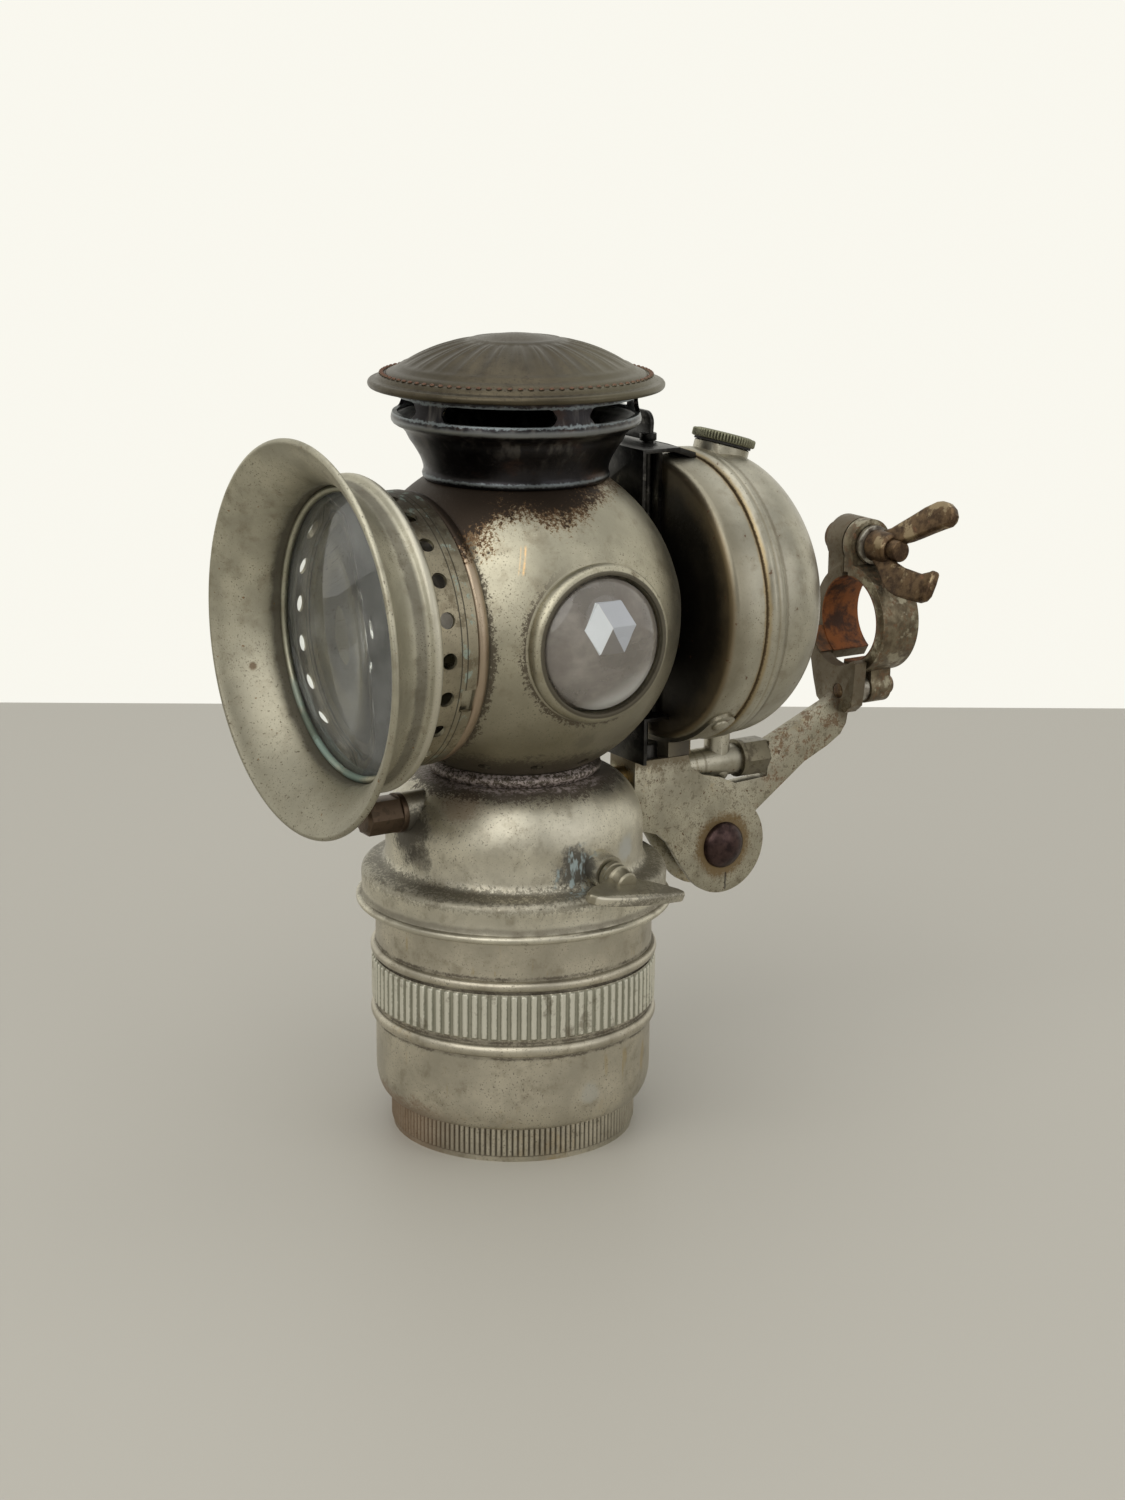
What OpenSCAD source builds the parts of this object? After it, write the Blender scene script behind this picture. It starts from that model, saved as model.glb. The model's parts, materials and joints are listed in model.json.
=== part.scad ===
// Acetylene bicycle lamp on its rear clamp bracket, in millimetres.
// The origin is the centre of the foot's flat underside, +Z is up and the beam points to -Y.

/* [Carbide cup] */
// Outer radius of the cup's wall
cup_r = 29.4; // [29.2:0.1:29.6]
// How far the cup's two beads stand out of its wall
cup_bead = 1.1; // [0.6:0.1:1.4]
// Height of the knurled foot ring
foot_h = 7.6; // [7:0.1:8]
// Outer radius of the knurled foot ring
foot_r = 26.2; // [25.5:0.1:26.5]
// Height of the rim that the head seats on
cup_top = 49.6; // [49.4:0.1:49.8]
// Wall thickness of the spun brass pieces
wall = 1.0; // [0.8:0.1:1.1]

/* [Generator head] */
// Outer radius of the flange's lower bead
flange_r = 33.5; // [33.2:0.1:34]
// Outer radius of the dome's upright part
dome_r = 27.2; // [27:0.1:27.3]
// Height of the water line through the dome
line_z = 72.5; // [72.3:0.1:72.7]

/* [Lamp body] */
// Outer radius of the ball
ball_r = 34.3; // [34.2:0.1:34.4]
// Number of air holes round the front drum
drum_holes = 22; // [18:1:24]
// Outer radius of the front drum
drum_r = 28; // [27.9:0.1:28.2]
// Outer radius of the hood's rolled rim
hood_r = 40; // [38:0.1:41]
// Distance from the lamp's axis to the hood's rim
hood_y = 51; // [49:0.1:52]

/* [Chimney] */
// Outer radius of the slotted gallery
gallery_r = 25.5; // [25.2:0.1:25.8]
// Number of slots round the gallery
slots = 5; // [4:1:6]
// Outer radius of the cap's rolled rim
cap_r = 30.2; // [30:0.1:31]
// Height of the top of the cap
cap_top = 169.2; // [168:0.1:170]

/* [Water tank] */
// Outer radius of the tank's band
tank_r = 30.5; // [30.4:0.1:30.6]
// Length of the tank's rear dome
tank_bulge = 18.7; // [18:0.1:19]
// Tilt of the filler cap towards the rear, in degrees
filler_tilt = 16; // [14:1:18]
// Radius of the filler cap
filler_r = 6.9; // [6.5:0.1:7.2]

/* [Bracket and clamp] */
// Radius of the tube that the clamp holds
clamp_r = 9.5; // [9.4:0.1:9.6]
// Thickness of the clamp's two jaws
jaw_t = 2.8; // [2.6:0.1:2.9]
// Thickness of the bracket's arm
arm_t = 3; // [2.6:0.1:3]

/* [Hidden] */
$fn = 96;
fit = 0.05;
gap = 0.3;
far = 60;

beam_z = 111;
neck_r = cup_r - 0.8;
neck_top = cup_top + 6.6;
cup_in = cup_r - wall;
low_bead_z = 25.8;
high_bead_z = 39.8;
band_z = 28.3;
band_h = 9.8;
seat_z = cup_top + 1.4;
shoulder_z = 66;
collar_r = 17;
dome_top = 78.3;
ball_in = ball_r - wall;
ball_foot = 81;
ball_head = 140;
ball_front = -23.4;
ball_back = 30.4;
jewel_hole = 14.6;
line_r = 2.3;
line_bore = 1.3;
boss_y = 27.6;
drum_back = -25.6;
drum_front = -35.2;
drum_holes_y = -32;
drum_in = drum_r - 0.8;
glass_seat = 30.1;
chimney_top = 160;
slot_low = 153.4;
slot_h = 3.4;
tank_face = 33.9;
seam_y = 42.2;
bulge_y = 49.2;
back_r = tank_r + 0.5;
saddle_y = 38.7;
saddle_w = 6.8;
saddle_r = tank_r + 0.8;
saddle_end = 141;
filler_y = 51.4;
filler_z = 141.3;
neck_in = 5;
tee_y = 52.3;
tee_r = 2.85;
spindle_y = 32.6;
spindle_r = 1.1;
valve_top = 79.4;
bridge_z = 143.9;
bridge_t = 0.8;
shelf_z = 86;
lever_z = 145;
channel_y = 27.4;
cheek_in = 3.6;
cheek_t = 1.2;
cheek_top = 76.6;
pivot_y = 51.2;
pivot_z = 54.6;
rivet_r = 2.5;
jaw_y = 88.2;
jaw_w = 10;
jaw_z = 100.6;
jaw_r = clamp_r + jaw_t;
lug_y = 84.5;
lug_t = 3.2;
hinge_x = 1.5;
hinge_z = 84.8;
hinge_r = 1.7;
knuckle_y = 91.4;
knuckle_w = 5.6;
bolt_y = jaw_y + jaw_w / 2;
bolt_z = 117.3;
bolt_r = 2.4;
ear_r = 5.6;
tap_base = [27, 3.8, 63];
tap_turn = 8;
tap_dip = 12;

// Points on an ellipse about [x, y], from angle a0 to angle a1.
function arc(x, y, rx, ry, a0, a1, n = 8) =
    [for (i = [0:n]) let (a = a0 + (a1 - a0) * i / n) [x + rx * cos(a), y + ry * sin(a)]];
// A rounded bead of height h about z that stands out of radius r by p.
function bead(r, z, h, p) = arc(r, z, p, h / 2, -90, 90, 6);
// The dome's outer line, from its foot up to its flat top.
function dome_line() = concat([[28.6, 58.8], [dome_r + 0.4, 59.8], [dome_r, 61]],
    arc(collar_r, shoulder_z, dome_r - collar_r, dome_top - shoulder_z, 0, 90, 9));
// The tank's front corner, and its rear dome, as radius and distance along Y.
function tank_corner(t) = arc(tank_r - 1.9, tank_face + 1.9, 1.9 - t, 1.9 - t, -90, 0, 7);
function tank_dome(t) = arc(0, bulge_y, back_r - t, tank_bulge - t, 0, 90, 14);

module about_y(z = beam_z) translate([0, 0, z]) rotate([-90, 0, 0]) children();
module about_x(x = 0, y = 0, z = beam_z) translate([x, y, z]) rotate([0, 90, 0]) children();
// A profile of radius and distance along Y, turned about the beam's axis.
module turned_y(points) about_y() rotate_extrude() polygon(points);
// An outline in Y and Z, from x0 on.
module side_plate(x0, t, points) translate([x0, 0, 0]) rotate([90, 0, 90])
    linear_extrude(t) polygon(points);
// An outline in X and Z, from y0 on.
module front_plate(y0, t, points) translate([0, y0 + t, 0]) rotate([90, 0, 0])
    linear_extrude(t) polygon(points);

module tube(r, bore, h) difference() {
    cylinder(r = r, h = h);
    translate([0, 0, -1]) cylinder(r = bore, h = h + 2);
}

module fluted_ring(r, depth, count, h, bore) difference() {
    linear_extrude(h) polygon([for (i = [0:2 * count - 1])
        let (a = 180 * i / count, s = r - (i % 2) * depth) [s * cos(a), s * sin(a)]]);
    translate([0, 0, -1]) cylinder(r = bore, h = h + 2);
}

module dome_solid() rotate_extrude() polygon(concat([[0, 58.8]], dome_line(), [[0, dome_top]]));
module tank_solid() turned_y(concat([[0, tank_face]], tank_corner(0), [[tank_r, seam_y], [0, seam_y]]));
module ball_solid() translate([0, 0, beam_z]) sphere(r = ball_r);
// The wing screw's own frame: its axis runs out of the dome along +Z.
module at_tap() translate(tap_base) rotate([0, 0, tap_turn]) rotate([0, 90 + tap_dip, 0]) children();
// The filler's own frame: +Z runs out of the tank.
module at_filler() translate([0, filler_y, filler_z]) rotate([-filler_tilt, 0, 0]) children();
// The clamp's own frame: +Z runs to the front and angles go from +X up towards +Z.
module at_jaw(y) translate([0, y, jaw_z]) rotate([90, 0, 0]) children();
module at_bolt(x) about_x(x, bolt_y, bolt_z) children();
module at_pivot(x) about_x(x, pivot_y, pivot_z) children();

module carbide_cup() color("tan") union() {
    rotate_extrude() polygon(concat(
        [[0, foot_h]], arc(cup_r - 2.8, 14, 2.8, 14 - foot_h, -90, 0),
        bead(cup_r, low_bead_z, 2.6, cup_bead), bead(cup_r, high_bead_z, 2.2, cup_bead),
        [[cup_r, cup_top], [neck_r, cup_top], [neck_r, neck_top], [neck_r - wall, neck_top]],
        [[neck_r - wall, cup_top - 1], [cup_in, cup_top - 2]],
        arc(cup_in - 2.4, 14, 2.4, 14 - foot_h - 1.2, 0, -90), [[0, foot_h + 1.2]]));
    translate([0, 0, band_z]) fluted_ring(cup_r + 0.9, 0.5, 92, band_h, cup_r - wall / 2);
}

module foot_ring() color("darkkhaki") fluted_ring(foot_r, 0.4, 140, foot_h, foot_r - 1.6);

module cup_gasket() color("dimgray") translate([0, 0, cup_top]) tube(31, neck_r + 0.1, 1.35);

module carbide_basket() color("gray") difference() {
    rotate_extrude() polygon([[0, 8.85], [22.5, 8.85], [24.5, 11], [24.5, 46], [23.7, 46],
        [23.7, 11.3], [22.2, 9.65], [0, 9.65]]);
    for (a = [0:30:150]) rotate([0, 0, a]) translate([-30, -1.25, 16]) cube([60, 2.5, 22]);
}

module generator_dome() color("tan") difference() {
    rotate_extrude() polygon(concat(
        [[31.3, seat_z - 1.1]], bead(flange_r - 1, seat_z - 0.2, 1.8, 1),
        [[32.2, 52.6], [32.3, 56.6], [31.7, 57.8], [30.6, 58.4]], dome_line(),
        [[13.5, dome_top], [13.5, dome_top - wall]],
        arc(collar_r, shoulder_z, dome_r - collar_r - wall, dome_top - shoulder_z - wall, 90, 0, 9),
        [[dome_r - wall, 59.5], [neck_r + gap, 57.4], [neck_r + gap, seat_z], [31.3, seat_z]]));
    translate([0, 0, line_z]) rotate([-90, 0, 0]) cylinder(r = line_r + fit, h = 40);
    translate([0, 0, line_z]) rotate([90, 0, 0]) cylinder(r = 1.95, h = 40);
    at_tap() translate([0, 0, -6]) cylinder(r = 1.85, h = 12);
}

module filter_plate() color("darkgoldenrod") translate([0, 0, 60.6]) difference() {
    tube(dome_r - wall - fit, 2.7, 0.8);
    for (a = [0:45:315]) rotate([0, 0, a]) translate([15, 0, -1]) cylinder(r = 2, h = 3);
}

module gas_filter() color("beige") translate([0, 0, 61.4]) tube(24.7, 2.7, 3.6);

module gas_plate() color("darkgoldenrod") translate([0, 0, dome_top]) tube(15.6, 2.25, 0.8);

module gas_tube() color("goldenrod") translate([0, 0, 75.8]) tube(2.2, 1.2, 21.7);

module burner_fork() color("goldenrod") translate([0, 0, 97.5]) union() {
    cylinder(r = 3.2, h = 5.5);
    translate([0, 0, 3.2]) rotate([0, 90, 0]) cylinder(r = 1.9, h = 16.8, center = true);
    for (s = [-1, 1]) translate([7 * s, 0, 3.2]) cylinder(r = 1.9, h = 5);
}

module burner_tips() color("ivory") for (s = [-1, 1]) translate([7 * s, 0, 105.7]) difference() {
    union() {
        cylinder(r = 1.8, h = 1.4);
        translate([0, 0, 1]) rotate([0, -30 * s, 0]) cylinder(r1 = 1.6, r2 = 1.2, h = 5);
    }
    rotate([0, -30 * s, 0]) translate([0, 0, 4]) cylinder(r = 0.4, h = 4);
}

module cross_tube() color("goldenrod") difference() {
    translate([0, -22.7, line_z]) rotate([-90, 0, 0]) tube(line_r, line_bore, 51.3);
    translate([0, 0, line_z - 4]) cylinder(r = 1.1, h = 4);
}

module drip_tube() color("goldenrod") difference() {
    translate([0, 0, 18]) tube(2.6, 1.4, line_z - 18);
    translate([0, -10, line_z]) rotate([-90, 0, 0]) cylinder(r = line_r, h = 20);
}

module front_plug_boss() color("tan") difference() {
    translate([0, -boss_y, line_z]) rotate([-90, 0, 0]) tube(4.2, 1.95, 12);
    dome_solid();
}

// A cleaning plug along +Z: a shank, a collar and a hexagon head.
module hex_plug(shank_r, shank, flats, head) union() {
    translate([0, 0, -shank]) cylinder(r = shank_r, h = shank + 0.5);
    cylinder(r = 4.2, h = 1.2);
    translate([0, 0, 1.2]) cylinder(r = flats / 2 / cos(30), h = head - 0.6, $fn = 6);
    translate([0, 0, head + 0.6]) cylinder(r1 = flats / 2, r2 = flats / 2 - 0.6, h = 0.6);
}

module front_plug() color("saddlebrown") translate([0, -boss_y, line_z]) rotate([90, 0, 0])
    hex_plug(1.9, 2.7, 7, 7.7);

module tap_boss() color("tan") difference() {
    at_tap() translate([0, 0, -5]) tube(3.6, 1.85, 8);
    dome_solid();
}

module wing_screw() color("darkkhaki") at_tap() union() {
    translate([0, 0, -2]) cylinder(r = 1.8, h = 6);
    translate([0, 0, 3.3]) cylinder(r = 3, h = 3);
    translate([0, 0, 6]) cylinder(r = 2.6, h = 3.2);
    rotate([0, 0, -10]) rotate([0, 5, 0]) side_plate(-1, 2, [[3, 5.6], [5, 6.8], [8, 8.2], [10.6, 9.8],
        [12.6, 11.2], [13.4, 12.4], [12.6, 13.6], [3, 14.4], [-5, 14.4], [-11.6, 13.6], [-13.4, 12.2],
        [-13, 10.8], [-10.6, 9.2], [-6, 7.4], [-3, 5.6]]);
}

module body_collar() color("gray") rotate_extrude() polygon([[15.7, dome_top], [17, dome_top],
    [17.9, 79], [18.2, 79.7], [17.8, 80.4], [17, ball_foot], [15.7, ball_foot]]);

module body_shell() color("tan") difference() {
    ball_solid();
    translate([0, 0, beam_z]) sphere(r = ball_in);
    translate([-far, -far, 0]) cube([2 * far, 2 * far, ball_foot]);
    translate([-far, -far, ball_head]) cube([2 * far, 2 * far, far]);
    translate([-far, -2 * far + ball_front, 0]) cube([2 * far, 2 * far, 3 * far]);
    translate([-far, ball_back, 0]) cube([2 * far, 2 * far, 3 * far]);
    about_x(-far) cylinder(r = jewel_hole, h = 2 * far);
    for (a = [11:30:341]) translate([0, 0, beam_z]) rotate([0, 0, a]) rotate([0, 143, 0])
        translate([0, 0, 30]) cylinder(r = 1.3, h = 8);
    for (a = [15:30:345]) about_y() rotate([0, 0, a]) rotate([0, 32.6, 0])
        translate([0, 0, 30]) cylinder(r = 1.9, h = 8);
}

module front_ring() color("rosybrown") difference() {
    turned_y([[25.2, -28], [26.6, -28], [26.6, -25.2], [27.4, -24.9], [27.7, -24], [27.3, -22.9],
        [26.6, -22.2], [25.2, -22.2]]);
    ball_solid();
}

module rear_plate() color("dimgray") union() {
    turned_y([[0, ball_back], [15.6, ball_back], [15.6, ball_back + 0.8], [0, ball_back + 0.8]]);
    turned_y([[0, 27.6], [3, 27.6], [3, ball_back + 0.4], [0, ball_back + 0.4]]);
}

module reflector() color("silver") turned_y(concat([for (r = [0:3.4:23.8]) [r, 27.5 - r * r / 76]],
    [for (r = [23.8:-3.4:0]) [r, 26.7 - r * r / 76]]));

module jewel_rim(side) color("tan") about_x() mirror([0, 0, side < 0 ? 1 : 0]) rotate_extrude()
    polygon([[13.9, 28.8], [jewel_hole - fit, 28.8], [jewel_hole - fit, 31.15], [15.3, 30.85],
        [16, 30.55], [16.1, 31.4], [15.9, 32.6], [15.2, 33.5], [14.4, 33.7], [13.9, 33.3]]);
module right_jewel_rim() jewel_rim(1);
module left_jewel_rim() jewel_rim(-1);

// A domed glass with an eight-sided crown.
module jewel(side) color("lightsteelblue") about_x() mirror([0, 0, side < 0 ? 1 : 0]) hull() {
    translate([0, 0, 29.8]) cylinder(r = 13.85, h = 3.2, $fn = 32);
    translate([0, 0, 36]) cylinder(r = 10, h = 0.2, $fn = 8);
    translate([0, 0, 37.6]) cylinder(r = 5, h = 0.2, $fn = 8);
}
module right_jewel() jewel(1);
module left_jewel() jewel(-1);

module front_drum() color("darkkhaki") difference() {
    turned_y([[drum_in, drum_back], [drum_r, drum_back], [drum_r, drum_front], [drum_in, drum_front]]);
    for (i = [0:drum_holes - 1]) about_y() translate([0, 0, drum_holes_y])
        rotate([0, 0, 1.5 + 360 * i / drum_holes]) rotate([0, 90, 0]) translate([0, 0, 24])
            cylinder(r = 1.65, h = 8);
    about_y() rotate([0, 0, 20]) translate([0, -2.5, drum_back - 3]) cube([40, 5, 6]);
}

module bezel_hood() color("tan") turned_y(concat(
    [[drum_in, drum_front], [31, drum_front], [31.8, -35.7], [32.2, -36.6], [31.8, -37.5], [31.1, -38.1]],
    [[31, -41], [31.7, -42.8], [33.5, -45.4], [36.2, -48], [hood_r - 1.2, -hood_y + 1]],
    arc(hood_r - 0.7, -hood_y + 0.7, 0.7, 0.7, 80, -150, 6),
    [[35.5, -48.7], [32.7, -45.9], [30.9, -43.2], [glass_seat, -41], [glass_seat, -36.1], [drum_in, -36.1]]));

module front_glass() color("lightcyan", 0.5) turned_y([[0, -36.2], [29.9, -36.2], [29.9, -37.7],
    [24, -38.4], [16, -39.1], [8, -39.6], [0, -39.8]]);

module glass_ring() color("teal") about_y() rotate([0, 0, 40]) rotate_extrude(angle = 350)
    translate([29.3, -38.6]) circle(r = 0.75, $fn = 24);

module chimney() color("darkslategray") difference() {
    rotate_extrude() polygon([[16.6, ball_head], [18.9, ball_head], [19.2, 140.8], [18.9, 141.6],
        [19.2, 143.2], [20.2, 145.4], [21.8, 147.8], [22.6, 149.4], [24, 150.6], [25.1, 151.2],
        [gallery_r, 151.9], [gallery_r, 152.6], [24.9, 154.5], [24.7, 156.5], [24.6, chimney_top],
        [23.7, chimney_top], [23.8, 156.5], [24, 154.4], [24.5, 152.6], [24.3, 152.1], [23.3, 151.3],
        [21.8, 150], [20.9, 148.2], [19.3, 145.8], [18.3, 143.5], [17.9, 141.6], [16.6, 140.8]]);
    for (i = [0:slots - 1]) rotate([0, 0, -40.4 + 360 * i / slots]) {
        rotate([0, 0, -23.5]) rotate_extrude(angle = 47) translate([20, slot_low]) square([10, slot_h]);
        for (s = [-1, 1]) rotate([0, 0, 23.5 * s]) translate([20, 0, slot_low + slot_h / 2])
            rotate([0, 90, 0]) cylinder(r = slot_h / 2, h = 10);
    }
}

module chimney_cap() color("darkolivegreen") rotate_extrude() {
    crown_r = 48;
    crown_z = cap_top - crown_r;
    polygon(concat(
        [[28.5, 158.8]], arc(cap_r - 0.7, 159.1, 0.7, 0.8, -110, 100, 6),
        [[28.3, 160.2], [27.9, 160.9], [27.2, 161.1], [26.6, 160.9]],
        arc(0, crown_z, crown_r, crown_r, 56.8, 90, 8),
        arc(0, crown_z, crown_r - 0.9, crown_r - 0.9, 90, 61, 8),
        [[22.9, chimney_top + fit], [26.4, chimney_top + fit]]));
}

module support_strap() color("dimgray") difference() {
    union() {
        difference() {
            translate([-10, 24.6, 130]) cube([20, bridge_t, 14.7]);
            ball_solid();
        }
        translate([-10, 24.6, bridge_z]) cube([20, tank_face - 24.6, bridge_t]);
        side_plate(-4.5, 9, [[33, bridge_z], [34.6, bridge_z + bridge_t], [41.8, 142.3], [41.8, 141]]);
        translate([-3.6, tank_face - 1, shelf_z]) cube([7.2, 1, bridge_z - shelf_z + bridge_t]);
        translate([-8, channel_y, shelf_z]) cube([16, tank_face - channel_y, bridge_t]);
        translate([-8, channel_y, cheek_top]) cube([16, bridge_t, shelf_z - cheek_top + bridge_t]);
    }
    tank_solid();
    translate([0, spindle_y, 80]) cylinder(r = spindle_r + 0.15, h = 70);
    translate([-1.4, spindle_y, shelf_z + 2]) cube([2.8, 3, bridge_z - shelf_z - 4]);
}

module tank_front() color("tan") turned_y(concat([[0, tank_face]], tank_corner(0),
    [[tank_r, seam_y], [tank_r - wall, seam_y]], [for (p = [7:-1:0]) tank_corner(wall)[p]],
    [[0, tank_face + wall]]));

module tank_back() color("tan") difference() {
    turned_y(concat([[back_r - wall, seam_y], [tank_r, seam_y], [31.2, 42.8], [31.6, 43.8], [31.7, 44.8],
        [31.5, 46], [back_r, 46.8]], tank_dome(0), [for (p = [14:-1:0]) tank_dome(wall)[p]]));
    at_filler() translate([0, 0, -6]) cylinder(r = 6.05, h = 12);
    translate([0, tee_y, 75]) cylinder(r = tee_r + fit, h = 10);
}

// The saddle under the tank: a band with rounded ends, riveted on, and its block on the channel.
module at_saddle_end(side) translate([0, saddle_y, beam_z]) rotate([0, saddle_end * side, 0]) children();
module tank_saddle() color("darkkhaki") difference() {
    reach = [far * sin(saddle_end), beam_z + far * cos(saddle_end)];
    low = saddle_y - saddle_w / 2;
    union() {
        intersection() {
            turned_y([[0, low], [saddle_r, low], [saddle_r, low + saddle_w], [0, low + saddle_w]]);
            union() {
                front_plate(low, saddle_w, [[0, beam_z], reach, [-reach[0], reach[1]]]);
                for (side = [-1, 1]) at_saddle_end(side) cylinder(r = saddle_w / 2, h = 40);
            }
        }
        translate([-cheek_in - cheek_t, low + 0.7, cheek_top]) cube([2 * (cheek_in + cheek_t), 5.8, 4]);
        translate([-cheek_in + 0.1, low + 0.7, cheek_top - 0.9]) cube([2 * cheek_in - 0.2, 5.8, 4]);
    }
    tank_solid();
}
module saddle_rivets() color("goldenrod") for (side = [-1, 1]) at_saddle_end(side)
    translate([0, 0, saddle_r]) cylinder(r1 = 1.9, r2 = 1.2, h = 0.9);

module filler_neck() color("darkkhaki") at_filler() translate([0, 0, -2]) tube(6, neck_in, 3.4);

module filler_washer() color("black") at_filler() translate([0, 0, 1.5]) tube(6.2, 4.9, 0.5);

module filler_cap() color("olive") at_filler() union() {
    translate([0, 0, 2]) fluted_ring(filler_r, 0.35, 60, 1.8, 5);
    translate([0, 0, 2]) cylinder(r = filler_r - 1, h = 1.8);
    translate([0, 0, -1]) cylinder(r = neck_in - 0.15, h = 4);
}

module water_tee() color("darkkhaki") difference() {
    union() {
        translate([0, tee_y, line_z]) cylinder(r = tee_r, h = 10);
        translate([0, tee_y, line_z - 1.9]) sphere(r = tee_r);
        translate([0, tee_y, line_z - 1.9]) cylinder(r = tee_r, h = 2);
        translate([0, 42, line_z]) rotate([-90, 0, 0]) cylinder(r = 3.4, h = 15.2);
    }
    translate([0, tee_y, line_z]) cylinder(r = 1.5, h = 12);
    translate([0, 41, line_z]) rotate([-90, 0, 0]) cylinder(r = 1.4, h = 17);
}

module rear_plug() color("saddlebrown") translate([0, 57.2, line_z]) rotate([-90, 0, 0])
    hex_plug(1.35, 3.5, 7.5, 6.5);

module feed_pipe() color("darkkhaki") translate([0, 36.6, line_z]) rotate([-90, 0, 0])
    tube(line_r, line_bore, 5.4);

module valve_body() color("goldenrod") difference() {
    union() {
        translate([0, spindle_y, 68.4]) cylinder(r = 3.1, h = valve_top - 68.4);
        translate([0, channel_y + cheek_t, line_z]) rotate([-90, 0, 0]) cylinder(r = 3, h = 8);
    }
    translate([0, spindle_y, 71]) cylinder(r = spindle_r + fit, h = 10);
    translate([0, channel_y, line_z]) rotate([-90, 0, 0]) cylinder(r = line_bore, h = 12);
}

module valve_spindle() color("gray") translate([0, spindle_y, 0]) union() {
    translate([0, 0, 73.4]) cylinder(r = spindle_r, h = lever_z + 1.2 - 73.4);
    translate([0, 0, 72.4]) cylinder(r1 = 0.4, r2 = spindle_r, h = 1);
}

module valve_lever() color("darkslategray") translate([0, spindle_y, lever_z]) difference() {
    union() {
        cylinder(r = 1.8, h = 1.6);
        translate([0, 0.5, 0]) rotate([90, 0, 0]) linear_extrude(1) polygon(concat([[1.2, 0]],
            arc(-0.9, 3.8, 2.4, 2.4, 0, 90, 6), arc(-8.5, 3.8, 2.4, 2.4, 90, 180, 6), [[-10.5, 0]]));
    }
    translate([0, 0, -1]) cylinder(r = spindle_r + fit, h = 2.25);
}

module bracket_channel() color("darkkhaki") difference() {
    union() {
        translate([-cheek_in - cheek_t, channel_y, 61.6]) cube([2 * (cheek_in + cheek_t), cheek_t, 15]);
        for (x = [-cheek_in - cheek_t, cheek_in]) {
            side_plate(x, cheek_t, [[channel_y, cheek_top], [41.3, 76.4], [42.2, 73.6], [45.3, 71.4],
                [50.5, 70], [55.5, 67.6], [59.8, 61.2], [pivot_y, pivot_z], [42.9, 47.6], [39.8, 51.8],
                [36.4, 57.2], [33.6, 59.6], [channel_y, 61.6]]);
            at_pivot(x) cylinder(r = 10.9, h = cheek_t);
        }
    }
    at_pivot(-10) cylinder(r = rivet_r + fit, h = 20);
    translate([0, 20, line_z]) rotate([-90, 0, 0]) cylinder(r = line_r + fit, h = 12);
}

module pivot_rivet() color("maroon") at_pivot(0) union() {
    side = cheek_in + cheek_t;
    translate([0, 0, -side - 0.5]) cylinder(r = rivet_r, h = 2 * side + 1);
    for (s = [0, 1]) mirror([0, 0, s]) translate([0, 0, side]) rotate_extrude()
        polygon(concat([[0, 0]], arc(0, 0.4, 5.2, 2.3, 0, 90, 7)));
}

module pivot_washers() color("gray") for (s = [0, 1]) mirror([s, 0, 0])
    at_pivot(arm_t / 2 + 0.06) tube(6.4, rivet_r + fit, cheek_in - arm_t / 2 - 0.06);

// A stretch of the clamp's ring between two radii and two angles, w wide from y towards the front.
module jaw_arc(y, w, r0, r1, a0, a1) at_jaw(y) rotate([0, 0, a0]) rotate_extrude(angle = a1 - a0)
    translate([r0, 0]) square([r1 - r0, w]);

module bracket_arm() color("darkkhaki") difference() {
    union() {
        at_pivot(-arm_t / 2) cylinder(r = 9.3, h = arm_t);
        side_plate(-arm_t / 2, arm_t, [[pivot_y, pivot_z], [57, 56.2], [63.3, 60.7], [75.6, 69.5],
            [82, 72.4], [85.6, 74.6], [87.2, 77], [lug_y + lug_t, 80], [lug_y + lug_t, 84],
            [lug_y, 84], [82.1, 82.6], [65.6, 75.5], [65.3, 67.6], [56.5, 67.2], [50, 63.6]]);
        front_plate(lug_y, lug_t, concat([[-9.8, 94.5], [-7.6, 86], [-6.2, 82], [-3.4, 80.2], [4.2, 80.2],
            [6.4, 82], [7, 86], [7.4, 92]], arc(0, jaw_z, clamp_r + 0.7, clamp_r + 0.7, -52, -137)));
        jaw_arc(jaw_y + 1, jaw_y + 0.8 - lug_y, clamp_r + gap, jaw_r - gap, 198, 236);
        jaw_arc(jaw_y + jaw_w, jaw_w, clamp_r, jaw_r, 108, 238);
        front_plate(jaw_y + 0.1, jaw_w - 0.2, [[-8.4, 107], [-2.9, 110.8], [-2.9, bolt_z], [-8.4, bolt_z]]);
        at_bolt(-8.4) cylinder(r = ear_r, h = 5.5);
    }
    at_pivot(-5) cylinder(r = rivet_r + fit, h = 10);
    at_bolt(-20) cylinder(r = bolt_r + fit, h = 20);
    translate([hinge_x, 80, hinge_z]) rotate([-90, 0, 0]) cylinder(r = hinge_r + fit, h = 20);
}

module jaw_pin() color("sienna") translate([hinge_x, 0, hinge_z]) rotate([-90, 0, 0]) union() {
    translate([0, 0, lug_y]) cylinder(r = hinge_r, h = knuckle_y + knuckle_w + 0.6 - lug_y);
    translate([0, 0, knuckle_y + knuckle_w + 0.1]) cylinder(r1 = 2.9, r2 = 2.2, h = 1.8);
}

module jaw_spacer() color("wheat") translate([hinge_x, lug_y + lug_t, hinge_z]) rotate([-90, 0, 0])
    tube(3.1, hinge_r + fit, knuckle_y - lug_y - lug_t - 0.1);

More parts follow.
